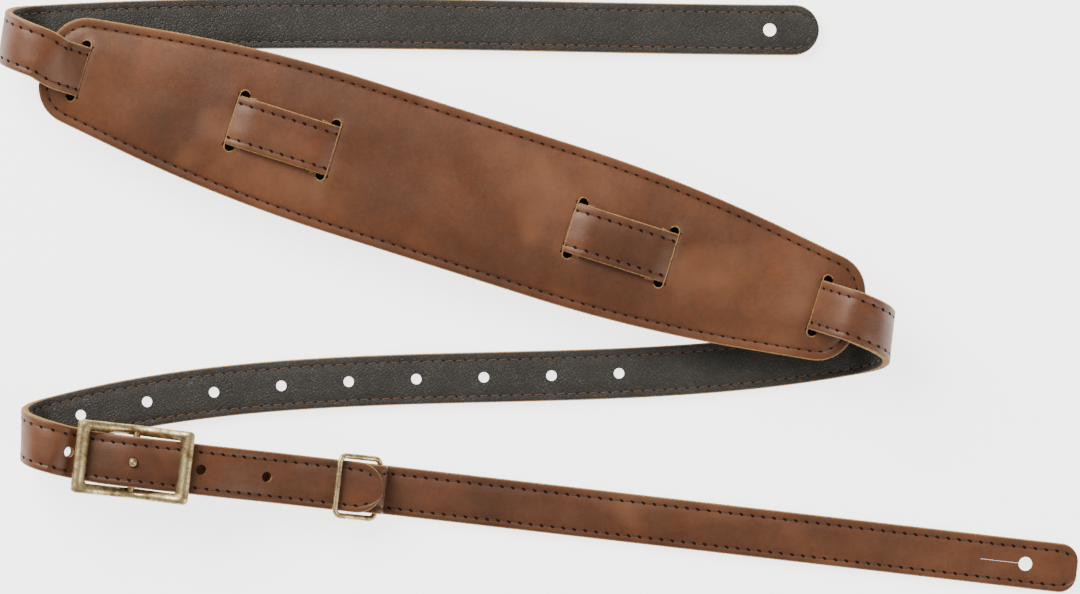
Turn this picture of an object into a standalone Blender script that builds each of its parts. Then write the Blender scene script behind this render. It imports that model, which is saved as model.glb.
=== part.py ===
"""Leather guitar strap with a woven shoulder pad, laid out in three folded runs.

The strap is leather over a lining. It starts at the button end, folds back over itself, weaves
through six slots of the shoulder pad, folds twice more, and passes a two-bar buckle that joins it
to the tail strap. +X runs to the right of the layout, +Y across it, and +Z up from the table.
"""

import bpy
import bmesh
from math import asin, atan2, cos, degrees, hypot, pi, radians, sin, sqrt, tan
from mathutils import Vector, Matrix

# ---- strap stock -------------------------------------------------------------------------------
STRAP_WIDTH = 0.01905
LEATHER = 0.0016
LINING = 0.0010
PLY_GAP = 0.0003
CLEAR = 0.0004
FIT_GAP = 0.0003
HOLE_PITCH = 0.0254
BUTTON_HOLE = 0.0049
TIP_RADIUS = STRAP_WIDTH / 2

# ---- shoulder pad ------------------------------------------------------------------------------
PAD_LENGTH = 0.3190
PAD_WIDTH = 0.0592
PAD_END_WIDTH = 0.0370
PAD_STRAIGHT = 0.1640
PAD_CORNER = 0.0120
PAD_LEATHER = 0.0016
PAD_FOAM = 0.0024
PAD_LINING = 0.0010
PAD_SEAM = 0.0060
PAD_HEIGHT = 0.0140
END_SLOT_INSET = 0.0136
MID_SLOT = 0.0900
NEAR_SLOT = 0.0425
SLOT_RAMP = 0.0130

# ---- layout on the table -----------------------------------------------------------------------
PAD_CENTRE = (-0.0329, 0.0403)
PAD_HEADING = -17.6
BUTTON_TIP_X = 0.1048
BUTTON_RUN_Y = 0.1003
BUTTON_HOLE_FROM_TIP = 0.0185
TOP_FOLD_RADIUS = 0.0140
TOP_FOLD_FROM_PAD = (-0.000065, 0.011772)
TOP_FOLD_TILT = -8.8
TOP_FOLD_ADVANCE = 0.0095
RIGHT_FOLD_RADIUS = 0.0140
RIGHT_FOLD_FROM_PAD = (-0.002335, 0.000728)
RIGHT_FOLD_TILT = -6.3
RIGHT_FOLD_ADVANCE = 0.0130
LOW_FOLD_RADIUS = 0.0110
LOW_FOLD_START = (-0.1814, -0.0466)
LOW_FOLD_TILT = -1.0
LOW_FOLD_ADVANCE = 0.0097
PEG_POINT = (-0.1518, -0.0616)
TAIL_HEADING = -6.6
TAIL_BEYOND_PEG = 0.3559
STRAP_PAST_KEEPER = 0.0021
TAIL_WIDTH = 0.0184
TAIL_TIP_RADIUS = 0.0065
TAIL_HOLE_FROM_TIP = 0.0195
TAIL_HOLE = 0.0052

# ---- buckle and keeper -------------------------------------------------------------------------
BUCKLE_LENGTH = 0.0440
BUCKLE_SIDE = 0.001225
END_BAR = 0.0049
END_BAR_DEPTH = 0.0030
RAIL = 0.0030
BAR_DIAMETER = 0.0028
BAR_HEIGHT = 0.0170
END_BAR_RISE = 0.0080
PEG_DIAMETER = 0.0030
PEG_CLEAR = 0.00045
PEG_HEAD = 0.0036
KEEPER_FROM_PEG = 0.0915
KEEPER_LENGTH = 0.0190
KEEPER_SIDE = 0.000675
KEEPER_WIRE = 0.0021
KEEPER_CORNER = 0.0025
KEEPER_LIFT = 0.0004
TURN_LENGTH = 0.0115
SETTLED = 0.0600
BAR_DIP = 0.0015
ADJUSTER_HOLES = 10
SLIT_LENGTH = 0.0170
SLIT_WIDTH = 0.0006

HOLE_DIAMETER = PEG_DIAMETER + 2 * PEG_CLEAR
WIDEST = max(STRAP_WIDTH, TAIL_WIDTH)
BUCKLE_WIDTH = WIDEST + 2 * (BUCKLE_SIDE + RAIL)
KEEPER_WIDTH = WIDEST + 2 * (KEEPER_SIDE + KEEPER_WIRE)
STRAP_BEYOND_PEG = KEEPER_FROM_PEG + STRAP_PAST_KEEPER
SLOT_OFFSETS = (PAD_LENGTH / 2 - END_SLOT_INSET, MID_SLOT, NEAR_SLOT)
PAD_REACH = (cos(radians(PAD_HEADING)) * PAD_LENGTH / 2, sin(radians(PAD_HEADING)) * PAD_LENGTH / 2)
TOP_FOLD_START = (PAD_CENTRE[0] - PAD_REACH[0] + TOP_FOLD_FROM_PAD[0],
                  PAD_CENTRE[1] - PAD_REACH[1] + TOP_FOLD_FROM_PAD[1])
RIGHT_FOLD_START = (PAD_CENTRE[0] + PAD_REACH[0] + RIGHT_FOLD_FROM_PAD[0],
                    PAD_CENTRE[1] + PAD_REACH[1] + RIGHT_FOLD_FROM_PAD[1])
TABLE_TO_PLY = LEATHER + PLY_GAP / 2
PLY_TO_TABLE = LINING + PLY_GAP / 2
STRAP_THICK = LEATHER + PLY_GAP + LINING
PAD_THICK = PAD_LINING + PAD_FOAM + PAD_LEATHER + 2 * PLY_GAP
FRONT_LEVEL = PAD_HEIGHT + PAD_THICK + CLEAR + PLY_TO_TABLE
BACK_LEVEL = PAD_HEIGHT - CLEAR - TABLE_TO_PLY
UP = Vector((0, 0, 1))


def clear_scene():
    for thing in list(bpy.data.objects):
        bpy.data.objects.remove(thing, do_unlink=True)


def make_collection(name):
    collection = bpy.data.collections.new(name)
    bpy.context.scene.collection.children.link(collection)
    return collection


def make_material(name, colour, roughness, metallic=0.0):
    material = bpy.data.materials.new(name)
    material.use_nodes = True
    shader = material.node_tree.nodes["Principled BSDF"]
    shader.inputs["Base Color"].default_value = (*colour, 1.0)
    shader.inputs["Roughness"].default_value = roughness
    shader.inputs["Metallic"].default_value = metallic
    return material


def add_part(name, mesh, material):
    part = bpy.data.objects.new(name, mesh)
    PARTS.objects.link(part)
    part.data.materials.clear()
    part.data.materials.append(material)
    return part


def add_cutter(name, mesh):
    cutter = bpy.data.objects.new(name, mesh)
    CUTTERS.objects.link(cutter)
    cutter.hide_render = True
    cutter.display_type = "WIRE"
    return cutter


def as_cutter(thing, name):
    """Turns a new primitive into a cutter."""
    thing.name = name
    for collection in list(thing.users_collection):
        collection.objects.unlink(thing)
    CUTTERS.objects.link(thing)
    thing.hide_render = True
    thing.display_type = "WIRE"
    return thing


def cut(part, cutter, operation="DIFFERENCE"):
    modifier = part.modifiers.new(f"{operation.lower()} {cutter.name}", "BOOLEAN")
    modifier.object = cutter
    modifier.operation = operation
    modifier.solver = "EXACT"


# ---- the strap's centreline --------------------------------------------------------------------
def plan(heading):
    """The horizontal unit vector at a heading in degrees."""
    return Vector((cos(radians(heading)), sin(radians(heading)), 0))


def ease(value):
    value = min(max(value, 0.0), 1.0)
    return value * value * (3 - 2 * value)


def level(distance, knots):
    """A height that eases from each (distance, height) knot to the next."""
    if distance <= knots[0][0]:
        return knots[0][1]
    for (start, low), (end, high) in zip(knots, knots[1:]):
        if distance <= end:
            return low + (high - low) * ease((distance - start) / (end - start))
    return knots[-1][1]


def fold_slope(radius, advance):
    """The angle between a fold's runs and the square across its axis."""
    return degrees(atan2(advance, pi * radius))


def fold_points(start, height, radius, tilt, advance, side, rising, steps=16):
    """Half a turn round a level axis: side is +1 for a fold at the right, -1 at the left."""
    across = plan(tilt) * side
    along = plan(tilt - 90)
    points = []
    for step in range(steps + 1):
        angle = pi * step / steps
        lift = radius * (1 - cos(angle)) * (1 if rising else -1)
        place = Vector((*start, height)) + across * radius * sin(angle) + UP * lift
        points.append((place + along * advance * step / steps, -along, 0.0))
    return points


def run_points(start, start_heading, end, end_heading, heights, distances, rolls=((0, 0),)):
    """A run seen from above as one smooth curve, with its height eased between knots."""
    span = hypot(end[0] - start[0], end[1] - start[1])
    first, last = Vector((*start, 0)), Vector((*end, 0))
    out, into = plan(start_heading) * span, plan(end_heading) * span
    points = []
    for distance in distances:
        t = distance / span
        place = (first * (2 * t**3 - 3 * t**2 + 1) + out * (t**3 - 2 * t**2 + t)
                 + last * (3 * t**2 - 2 * t**3) + into * (t**3 - t**2))
        heading = (first - last) * (6 * t**2 - 6 * t) + out * (3 * t**2 - 4 * t + 1)
        heading += into * (3 * t**2 - 2 * t)
        side = UP.cross(heading).normalized()
        if side.y < 0:
            side = -side
        place.z = level(distance, heights)
        points.append((place, side, radians(level(distance, rolls))))
    return points


def spaced(start, end, count):
    return [start + (end - start) * step / count for step in range(count + 1)]


def frames_of(points):
    """Each point with its direction of travel, its width direction and the leather's outward face."""
    frames = []
    for index, (place, side, roll) in enumerate(points):
        before = points[max(index - 1, 0)][0]
        after = points[min(index + 1, len(points) - 1)][0]
        travel = (after - before).normalized()
        width = (side - travel * side.dot(travel)).normalized()
        width = Matrix.Rotation(roll, 3, travel) @ width
        frames.append((place, travel, width, travel.cross(width).normalized()))
    return frames


def joined(*lists):
    """Stretches end to end, without the point that two of them share."""
    points = list(lists[0])
    for stretch in lists[1:]:
        points += stretch[1:]
    return points


def frame_at(frames, distance):
    """The frame at a distance along the centreline."""
    walked = 0.0
    for (here, *first), (there, *second) in zip(frames, frames[1:]):
        step = (there - here).length
        if walked + step >= distance:
            share = (distance - walked) / step
            mixed = [a.lerp(b, share).normalized() for a, b in zip(first, second)]
            return (here.lerp(there, share), *mixed)
        walked += step
    return frames[-1]


def length_of(frames):
    return sum((b[0] - a[0]).length for a, b in zip(frames, frames[1:]))


# ---- solids ------------------------------------------------------------------------------------
def strip_mesh(name, frames, width, shift, tip_at_start=0.0, tip_at_end=0.0):
    """An open strip along the frames, shift outside the centreline, with round tips where asked."""
    total = length_of(frames)
    rails = []
    walked = 0.0
    previous = frames[0][0]
    for place, _, across, out in frames:
        walked += (place - previous).length
        previous = place
        half = width / 2
        for radius, inset in ((tip_at_start, walked), (tip_at_end, total - walked)):
            if radius and inset < radius:
                half -= radius - sqrt(max(radius**2 - (radius - inset) ** 2, 0.0))
        half = max(half, width * 0.04)
        centre = place + out * shift
        rails.append((centre - across * half, centre + across * half))
    mesh = bpy.data.meshes.new(name)
    corners = [corner for pair in rails for corner in pair]
    faces = [(2 * i, 2 * i + 2, 2 * i + 3, 2 * i + 1) for i in range(len(rails) - 1)]
    mesh.from_pydata([tuple(corner) for corner in corners], [], faces)
    return mesh


def thicken(thing, thickness, offset):
    solidify = thing.modifiers.new("thickness", "SOLIDIFY")
    solidify.thickness = thickness
    solidify.offset = offset
    solidify.use_even_offset = True


def make_strap(name, frames, width, tips=(0.0, 0.0), holes=(), hole_size=HOLE_DIAMETER,
               thickness=LEATHER, lining_frames=None):
    """A stretch of strap: leather outside the centreline and lining inside, both punched."""
    outer = strip_mesh(name + "_leather", frames, width, PLY_GAP / 2, *tips)
    leather = add_part(name + "_leather", outer, LEATHER_MATERIAL)
    thicken(leather, thickness, 1)
    inner = strip_mesh(name + "_lining", lining_frames or frames, width, -PLY_GAP / 2, *tips)
    lining = add_part(name + "_lining", inner, LINING_MATERIAL)
    thicken(lining, LINING, -1)
    for number, distance in enumerate(holes):
        punch = make_punch(f"{name} punch {number + 1}", frame_at(frames, distance), hole_size)
        cut(leather, punch)
        cut(lining, punch)
    return leather, lining


def make_punch(name, frame, diameter, depth=0.012):
    place, travel, width, out = frame
    mesh = bpy.data.meshes.new(name)
    shape = bmesh.new()
    bmesh.ops.create_cone(shape, cap_ends=True, segments=16, radius1=diameter / 2,
                          radius2=diameter / 2, depth=depth)
    shape.to_mesh(mesh)
    shape.free()
    punch = add_cutter(name, mesh)
    turn = Matrix((travel, width, out)).transposed().to_4x4()
    punch.matrix_world = Matrix.Translation(place) @ turn
    return punch


def tube_mesh(name, points, radius, cyclic, resolution=2):
    """A round wire through the points, as a closed mesh."""
    curve = bpy.data.curves.new(name, "CURVE")
    curve.dimensions = "3D"
    curve.bevel_depth = radius
    curve.bevel_resolution = resolution
    curve.use_fill_caps = not cyclic
    spline = curve.splines.new("POLY")
    spline.points.add(len(points) - 1)
    spline.use_cyclic_u = cyclic
    for point, place in zip(spline.points, points):
        point.co = (*place, 1)
    return mesh_from_curve(name, curve)


def mesh_from_curve(name, curve):
    guide = bpy.data.objects.new(name + " guide", curve)
    bpy.context.scene.collection.objects.link(guide)
    bpy.context.view_layer.update()
    evaluated = guide.evaluated_get(bpy.context.evaluated_depsgraph_get())
    mesh = bpy.data.meshes.new_from_object(evaluated)
    shape = bmesh.new()
    shape.from_mesh(mesh)
    bmesh.ops.remove_doubles(shape, verts=shape.verts, dist=0.00001)
    shape.to_mesh(mesh)
    shape.free()
    bpy.data.objects.remove(guide, do_unlink=True)
    return mesh


def plate_mesh(name, outline, thickness):
    """A flat plate of an outline, standing on z = 0."""
    curve = bpy.data.curves.new(name, "CURVE")
    curve.dimensions = "2D"
    curve.fill_mode = "BOTH"
    curve.extrude = thickness / 2
    spline = curve.splines.new("POLY")
    spline.points.add(len(outline) - 1)
    spline.use_cyclic_u = True
    for point, (x, y) in zip(spline.points, outline):
        point.co = (x, y, 0, 1)
    mesh = mesh_from_curve(name, curve)
    mesh.transform(Matrix.Translation((0, 0, thickness / 2)))
    return mesh


# ---- strap sections ----------------------------------------------------------------------------
def top_fold():
    return fold_points(TOP_FOLD_START, TABLE_TO_PLY, TOP_FOLD_RADIUS, TOP_FOLD_TILT,
                       TOP_FOLD_ADVANCE, -1, True)


def right_fold():
    return fold_points(RIGHT_FOLD_START, TABLE_TO_PLY + 2 * RIGHT_FOLD_RADIUS, RIGHT_FOLD_RADIUS,
                       RIGHT_FOLD_TILT, RIGHT_FOLD_ADVANCE, 1, False)


def low_fold():
    return fold_points(LOW_FOLD_START, TABLE_TO_PLY, LOW_FOLD_RADIUS, LOW_FOLD_TILT,
                       LOW_FOLD_ADVANCE, -1, True)


def halves(points):
    middle = len(points) // 2
    return points[:middle + 1], points[middle:]


def trimmed(frames, at_start, at_end):
    """The frames with half a working gap taken off an end that meets another body."""
    frames = list(frames)
    if at_start:
        place, travel, width, out = frames[0]
        frames[0] = (place + travel * FIT_GAP / 2, travel, width, out)
    if at_end:
        place, travel, width, out = frames[-1]
        frames[-1] = (place - travel * FIT_GAP / 2, travel, width, out)
    return frames


def button_frames():
    start = (BUTTON_TIP_X, BUTTON_RUN_Y)
    span = BUTTON_TIP_X - TOP_FOLD_START[0]
    tip = [TIP_RADIUS * (1 - cos(pi / 2 * step / 7)) for step in range(8)]
    distances = tip + [span * 0.5, span * 0.8, span * 0.9, span]
    entry = 180 + TOP_FOLD_TILT + fold_slope(TOP_FOLD_RADIUS, TOP_FOLD_ADVANCE)
    run = run_points(start, 180, TOP_FOLD_START, entry, ((0, TABLE_TO_PLY),), distances)
    return trimmed(frames_of(joined(run, halves(top_fold())[0])), False, True)


def weave_knots():
    """Heights of the strap at its distances from the pad's middle: front, back, front and so on."""
    far, mid, near = SLOT_OFFSETS
    slots = (-far, -mid, -near, near, mid, far)
    knots = []
    for number, slot in enumerate(slots):
        before, after = (FRONT_LEVEL, BACK_LEVEL) if number % 2 == 0 else (BACK_LEVEL, FRONT_LEVEL)
        knots.append((slot - SLOT_RAMP, before))
        knots.append((slot + SLOT_RAMP, after))
    return knots


def woven_points():
    """The strap along the pad, from the top fold's end to the right fold's start."""
    heading = plan(PAD_HEADING)
    centre = Vector((*PAD_CENTRE, 0))
    begin = top_fold()[-1][0]
    finish = right_fold()[0][0]
    knots = weave_knots()
    first = knots[0][0] + SLOT_RAMP / 2
    last = knots[-1][0] - SLOT_RAMP / 2
    knots[0] = ((begin - centre).dot(heading), begin.z)
    knots[-1] = ((finish - centre).dot(heading), finish.z)
    points = []
    lead = centre + heading * first
    span = hypot(lead.x - begin.x, lead.y - begin.y)
    exit_heading = TOP_FOLD_TILT - fold_slope(TOP_FOLD_RADIUS, TOP_FOLD_ADVANCE)
    entry = run_points(begin.xy, exit_heading, lead.xy, PAD_HEADING, ((0, 0),), spaced(0, span, 4))
    middle = [(centre + heading * s, UP.cross(heading), 0.0) for s in weave_distances(first, last)]
    lead = centre + heading * last
    span = hypot(lead.x - finish.x, lead.y - finish.y)
    leave = RIGHT_FOLD_TILT - fold_slope(RIGHT_FOLD_RADIUS, RIGHT_FOLD_ADVANCE)
    close = run_points(lead.xy, PAD_HEADING, finish.xy, leave, ((0, 0),), spaced(0, span, 4))
    for place, side, roll in joined(entry, middle, close):
        height = level((place - centre).dot(heading), knots)
        points.append((Vector((place.x, place.y, height)), side, roll))
    return points


def weave_distances(first, last):
    """Stations along the pad: close together on the ramps, none between them."""
    stations = [first]
    for slot in sorted([-s for s in SLOT_OFFSETS] + list(SLOT_OFFSETS)):
        stations += [s for s in spaced(slot - SLOT_RAMP, slot + SLOT_RAMP, 6) if first < s < last]
    return stations + [last]


def woven_frames():
    points = joined(halves(top_fold())[1], woven_points(), halves(right_fold())[0])
    return trimmed(frames_of(points), True, True)


def adjuster_frames():
    start = right_fold()[-1][0]
    end = low_fold()[0][0]
    span = hypot(end.x - start.x, end.y - start.y)
    leave = 180 + RIGHT_FOLD_TILT + fold_slope(RIGHT_FOLD_RADIUS, RIGHT_FOLD_ADVANCE)
    entry = 180 + LOW_FOLD_TILT + fold_slope(LOW_FOLD_RADIUS, LOW_FOLD_ADVANCE)
    distances = spaced(0, span * 0.2, 3) + spaced(span * 0.2, span * 0.8, 4)[1:]
    distances += spaced(span * 0.8, span, 3)[1:]
    flat = ((0, TABLE_TO_PLY),)
    run = run_points(start.xy, leave, end.xy, entry, flat, distances)
    points = joined(halves(right_fold())[1], run, halves(low_fold())[0])
    return trimmed(frames_of(points), True, True)


def at_tail(distance):
    """A plan point at a distance beyond the peg, along the tail."""
    place = Vector((*PEG_POINT, 0)) + plan(TAIL_HEADING) * distance
    return (place.x, place.y)


BAR_LOOP = BAR_DIAMETER / 2 + FIT_GAP + LEATHER / 2
WIRE_LOOP = KEEPER_WIRE / 2 + FIT_GAP + LEATHER / 2
STRAP_OVER_BAR = BAR_HEIGHT + BAR_LOOP + LEATHER / 2 + FIT_GAP + PLY_TO_TABLE
TAIL_REST = LINING + PLY_GAP + LEATHER / 2
TURN_LOWER = TAIL_REST + LEATHER + FIT_GAP
TURN_AXIS = TURN_LOWER + WIRE_LOOP
TIP_LEVEL = TURN_AXIS + WIRE_LOOP + LEATHER / 2 + FIT_GAP + PLY_TO_TABLE


def buckle_frames():
    """The strap from the low fold, over the buckle's bar, to its tip above the keeper turn."""
    begin = low_fold()[-1][0]
    peg = at_tail(0)
    leave = LOW_FOLD_TILT - fold_slope(LOW_FOLD_RADIUS, LOW_FOLD_ADVANCE)
    lead = hypot(peg[0] - begin.x, peg[1] - begin.y)
    under_bar = STRAP_OVER_BAR - BAR_DIP
    reach = BUCKLE_LENGTH / 2
    heights = ((0, begin.z), (lead - reach, under_bar), (lead - reach + END_BAR, under_bar),
               (lead, STRAP_OVER_BAR))
    first = run_points(begin.xy, leave, peg, TAIL_HEADING, heights, spaced(0, lead, 12))
    tip = at_tail(STRAP_BEYOND_PEG)
    knots = ((0, STRAP_OVER_BAR), (reach - END_BAR, under_bar), (reach, under_bar),
             (SETTLED, TIP_LEVEL), (STRAP_BEYOND_PEG, TIP_LEVEL))
    straight = STRAP_BEYOND_PEG - TIP_RADIUS
    distances = spaced(0, reach, 6) + spaced(reach, SETTLED, 6)[1:] + [straight]
    distances += [straight + TIP_RADIUS * sin(pi / 2 * step / 7) for step in range(1, 8)]
    second = run_points(peg, TAIL_HEADING, tip, TAIL_HEADING, knots, distances)
    points = joined(halves(low_fold())[1], first, second)
    return trimmed(frames_of(points), True, False)


def tail_route():
    """Distance and height of the tail's leather: keeper turn, over and round the bar, to its tip."""
    reach = BUCKLE_LENGTH / 2
    over = ((0.0, BAR_HEIGHT + BAR_LOOP), (reach - END_BAR, BAR_HEIGHT + BAR_LOOP - BAR_DIP),
            (reach, BAR_HEIGHT + BAR_LOOP - BAR_DIP), (SETTLED, TURN_LOWER))
    under = ((0.0, BAR_HEIGHT - BAR_LOOP), (SETTLED, TAIL_REST))
    top = TURN_AXIS + WIRE_LOOP
    route = [(KEEPER_FROM_PEG - TURN_LENGTH, top), (KEEPER_FROM_PEG - TURN_LENGTH / 2, top)]
    route += [(KEEPER_FROM_PEG + WIRE_LOOP * sin(a), TURN_AXIS + WIRE_LOOP * cos(a))
              for a in spaced(0, pi, 8)]
    stations = [KEEPER_FROM_PEG * 0.8] + spaced(SETTLED, reach, 6) + spaced(reach, 0.0, 4)[1:]
    route += [(x, level(x, over)) for x in stations]
    route += [(BAR_LOOP * sin(a), BAR_HEIGHT + BAR_LOOP * cos(a)) for a in spaced(0, -pi, 8)[1:]]
    route += [(x, level(x, under)) for x in spaced(0.0, SETTLED, 10)[1:]]
    straight = TAIL_BEYOND_PEG - TAIL_TIP_RADIUS
    ends = [straight + TAIL_TIP_RADIUS * sin(pi / 2 * step / 5) for step in range(6)]
    return route + [(x, TAIL_REST) for x in [SETTLED * 1.6] + ends]


def tail_frames():
    side = UP.cross(plan(TAIL_HEADING))
    points = [(Vector((*at_tail(x), z)), side, 0.0) for x, z in tail_route()]
    return frames_of(points)


def tail_lining_frames():
    side = UP.cross(plan(TAIL_HEADING))
    straight = TAIL_BEYOND_PEG - TAIL_TIP_RADIUS
    distances = [SETTLED + FIT_GAP, straight * 0.5]
    distances += [straight + TAIL_TIP_RADIUS * sin(pi / 2 * step / 5) for step in range(6)]
    points = [(Vector((*at_tail(x), PLY_TO_TABLE)), side, 0.0) for x in distances]
    return frames_of(points)


def make_main_strap():
    frames = button_frames()
    make_strap("button_run", frames, STRAP_WIDTH, (TIP_RADIUS, 0.0), [BUTTON_HOLE_FROM_TIP],
               BUTTON_HOLE)
    make_strap("pad_run", woven_frames(), STRAP_WIDTH)
    frames = adjuster_frames()
    total = length_of(frames)
    buckle = buckle_frames()
    peg_at = distance_to(buckle, Vector((*PEG_POINT, STRAP_OVER_BAR)))
    holes = [peg_at + HOLE_PITCH * number for number in (-1, 0, 1, 2)]
    make_strap("buckle_run", buckle, STRAP_WIDTH, (0.0, TIP_RADIUS), holes)
    first = total + FIT_GAP + peg_at - 2 * HOLE_PITCH
    holes = [first - HOLE_PITCH * number for number in range(ADJUSTER_HOLES)]
    holes = [hole for hole in holes if hole < total - HOLE_DIAMETER]
    make_strap("adjuster_run", frames, STRAP_WIDTH, holes=holes)


def distance_to(frames, point):
    """How far along the frames the station nearest to a point is."""
    walked = 0.0
    best = (1.0, 0.0)
    for (here, *_), (there, *_) in zip(frames, frames[1:]):
        walked += (there - here).length
        best = min(best, ((there - point).length, walked))
    return best[1]


def make_tail():
    mesh = strip_mesh("tail_leather", tail_frames(), TAIL_WIDTH, 0.0, 0.0, TAIL_TIP_RADIUS)
    leather = add_part("tail_strap_leather", mesh, LEATHER_MATERIAL)
    thicken(leather, LEATHER, 0)
    frames = tail_lining_frames()
    mesh = strip_mesh("tail_lining", frames, TAIL_WIDTH, -PLY_GAP / 2, 0.0, TAIL_TIP_RADIUS)
    lining = add_part("tail_strap_lining", mesh, LINING_MATERIAL)
    thicken(lining, LINING, -1)
    hole = (Vector((*at_tail(TAIL_BEYOND_PEG - TAIL_HOLE_FROM_TIP), TAIL_REST)), *frames[1][1:])
    punch = make_punch("tail button hole punch", hole, TAIL_HOLE)
    slit = slit_cutter()
    eye = (Vector((*at_tail(0), BAR_HEIGHT + BAR_LOOP)), *frames[1][1:])
    eye_punch = make_punch("tail peg eye punch", eye, HOLE_DIAMETER, 2 * LEATHER)
    for part in (leather, lining):
        cut(part, punch)
        cut(part, slit)
    cut(leather, eye_punch)


def slit_cutter():
    bpy.ops.mesh.primitive_cube_add(size=1)
    slit = as_cutter(bpy.context.object, "tail slit cutter")
    middle = TAIL_BEYOND_PEG - TAIL_HOLE_FROM_TIP - SLIT_LENGTH / 2
    slit.dimensions = (SLIT_LENGTH, SLIT_WIDTH, 0.012)
    slit.location = (*at_tail(middle), TAIL_REST)
    slit.rotation_euler = (0, 0, radians(TAIL_HEADING))
    return slit


# ---- shoulder pad ------------------------------------------------------------------------------
def arc(centre, radius, start, end, steps=6):
    return [(centre[0] + radius * cos(radians(a)), centre[1] + radius * sin(radians(a)))
            for a in spaced(start, end, steps)]


def pad_outline(inset):
    """The pad seen from above, about its middle: a straight stretch, two tapers, round ends."""
    straight = PAD_STRAIGHT / 2
    taper = degrees(atan2((PAD_WIDTH - PAD_END_WIDTH) / 2, PAD_LENGTH / 2 - straight))
    corner = PAD_CORNER - inset
    x = PAD_LENGTH / 2 - PAD_CORNER
    y = PAD_END_WIDTH / 2 - PAD_CORNER + PAD_CORNER * tan(radians(taper / 2))
    quarter = arc((x, y), corner, 0, 90 - taper)
    quarter.append((straight, PAD_WIDTH / 2 - inset))
    right = [(px, -py) for px, py in reversed(quarter)] + quarter
    return right + [(-px, -py) for px, py in right]


def weave_cutter():
    """The strap's way through the pad, with clearance all round."""
    points = woven_points()
    frames = frames_of(points)
    mesh = strip_mesh("weave cutter", frames, STRAP_WIDTH + 4 * CLEAR,
                      (LEATHER - LINING) / 2)
    cutter = add_cutter("weave cutter", mesh)
    thicken(cutter, STRAP_THICK + 2 * FIT_GAP, 0)
    return cutter


def make_pad():
    frame = bpy.data.objects.new("pad_frame", None)
    PARTS.objects.link(frame)
    frame.location = (*PAD_CENTRE, PAD_HEIGHT)
    frame.rotation_euler = (0, 0, radians(PAD_HEADING))
    cutter = weave_cutter()
    layers = (("shoulder_pad_lining", 0.0, PAD_LINING, LINING_MATERIAL),
              ("shoulder_pad_foam", PAD_SEAM, PAD_FOAM, FOAM_MATERIAL),
              ("shoulder_pad_leather", 0.0, PAD_LEATHER, LEATHER_MATERIAL))
    height = 0.0
    for name, inset, thickness, material in layers:
        part = add_part(name, plate_mesh(name, pad_outline(inset), thickness), material)
        part.parent = frame
        part.location = (0, 0, height)
        cut(part, cutter)
        height += thickness + PLY_GAP


# ---- buckle and keeper -------------------------------------------------------------------------
def pivot(name, place, pitch=0.0):
    empty = bpy.data.objects.new(name, None)
    PARTS.objects.link(empty)
    empty.location = place
    turn = Matrix.Rotation(radians(TAIL_HEADING), 3, "Z") @ Matrix.Rotation(pitch, 3, "Y")
    empty.rotation_euler = turn.to_euler()
    return empty


def rail_points(side):
    """One rail, bowed down from the end bars to the middle bar."""
    reach = (BUCKLE_LENGTH - END_BAR) / 2
    y = side * (BUCKLE_WIDTH - RAIL) / 2
    return [(x, y, END_BAR_RISE * ease(abs(x) / reach)) for x in spaced(-reach, reach, 12)]


def make_buckle():
    axis = pivot("buckle_axis", (*PEG_POINT, BAR_HEIGHT))
    reach = (BUCKLE_WIDTH - RAIL) / 2
    bar = [(0, -reach, 0), (0, reach, 0)]
    frame = add_part("buckle_frame", tube_mesh("bar", bar, BAR_DIAMETER / 2, False), BRASS_MATERIAL)
    frame.parent = axis
    for side in (-1, 1):
        rail = add_cutter(f"rail {side}", tube_mesh("rail", rail_points(side), RAIL / 2, False))
        rail.parent = axis
        cut(frame, rail, "UNION")
        end = end_bar(side)
        end.parent = axis
        cut(frame, end, "UNION")
    make_peg(axis)


def end_bar(side):
    bpy.ops.mesh.primitive_cube_add(size=1)
    bar = as_cutter(bpy.context.object, f"end bar {side}")
    bar.data.transform(Matrix.Diagonal((END_BAR, BUCKLE_WIDTH, END_BAR_DEPTH, 1)))
    bar.location = (side * (BUCKLE_LENGTH - END_BAR) / 2, 0, END_BAR_RISE)
    bevel = bar.modifiers.new("soft edges", "BEVEL")
    bevel.width = END_BAR_DEPTH / 4
    bevel.segments = 2
    return bar


def make_peg(axis):
    """A short post with a domed head, standing on the middle bar."""
    foot = BAR_DIAMETER / 2 + FIT_GAP
    rise = STRAP_OVER_BAR + PLY_GAP / 2 + LEATHER + 2 * FIT_GAP - BAR_HEIGHT
    profile = [(PEG_HEAD / 2 * cos(radians(a)), rise + PEG_HEAD / 2 * sin(radians(a)))
               for a in spaced(90, 0, 5)]
    profile += [(PEG_DIAMETER / 2, rise - FIT_GAP), (PEG_DIAMETER / 2, foot), (0.0, foot)]
    mesh = bpy.data.meshes.new("buckle_peg")
    edges = [(i, i + 1) for i in range(len(profile) - 1)]
    mesh.from_pydata([(max(x, 0.0), 0, z) for x, z in profile], edges, [])
    peg = add_part("buckle_peg", mesh, BRASS_MATERIAL)
    peg.parent = axis
    screw = peg.modifiers.new("turned", "SCREW")
    screw.steps = 16
    screw.render_steps = 16
    screw.use_merge_vertices = True
    screw.merge_threshold = 0.00001


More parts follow.
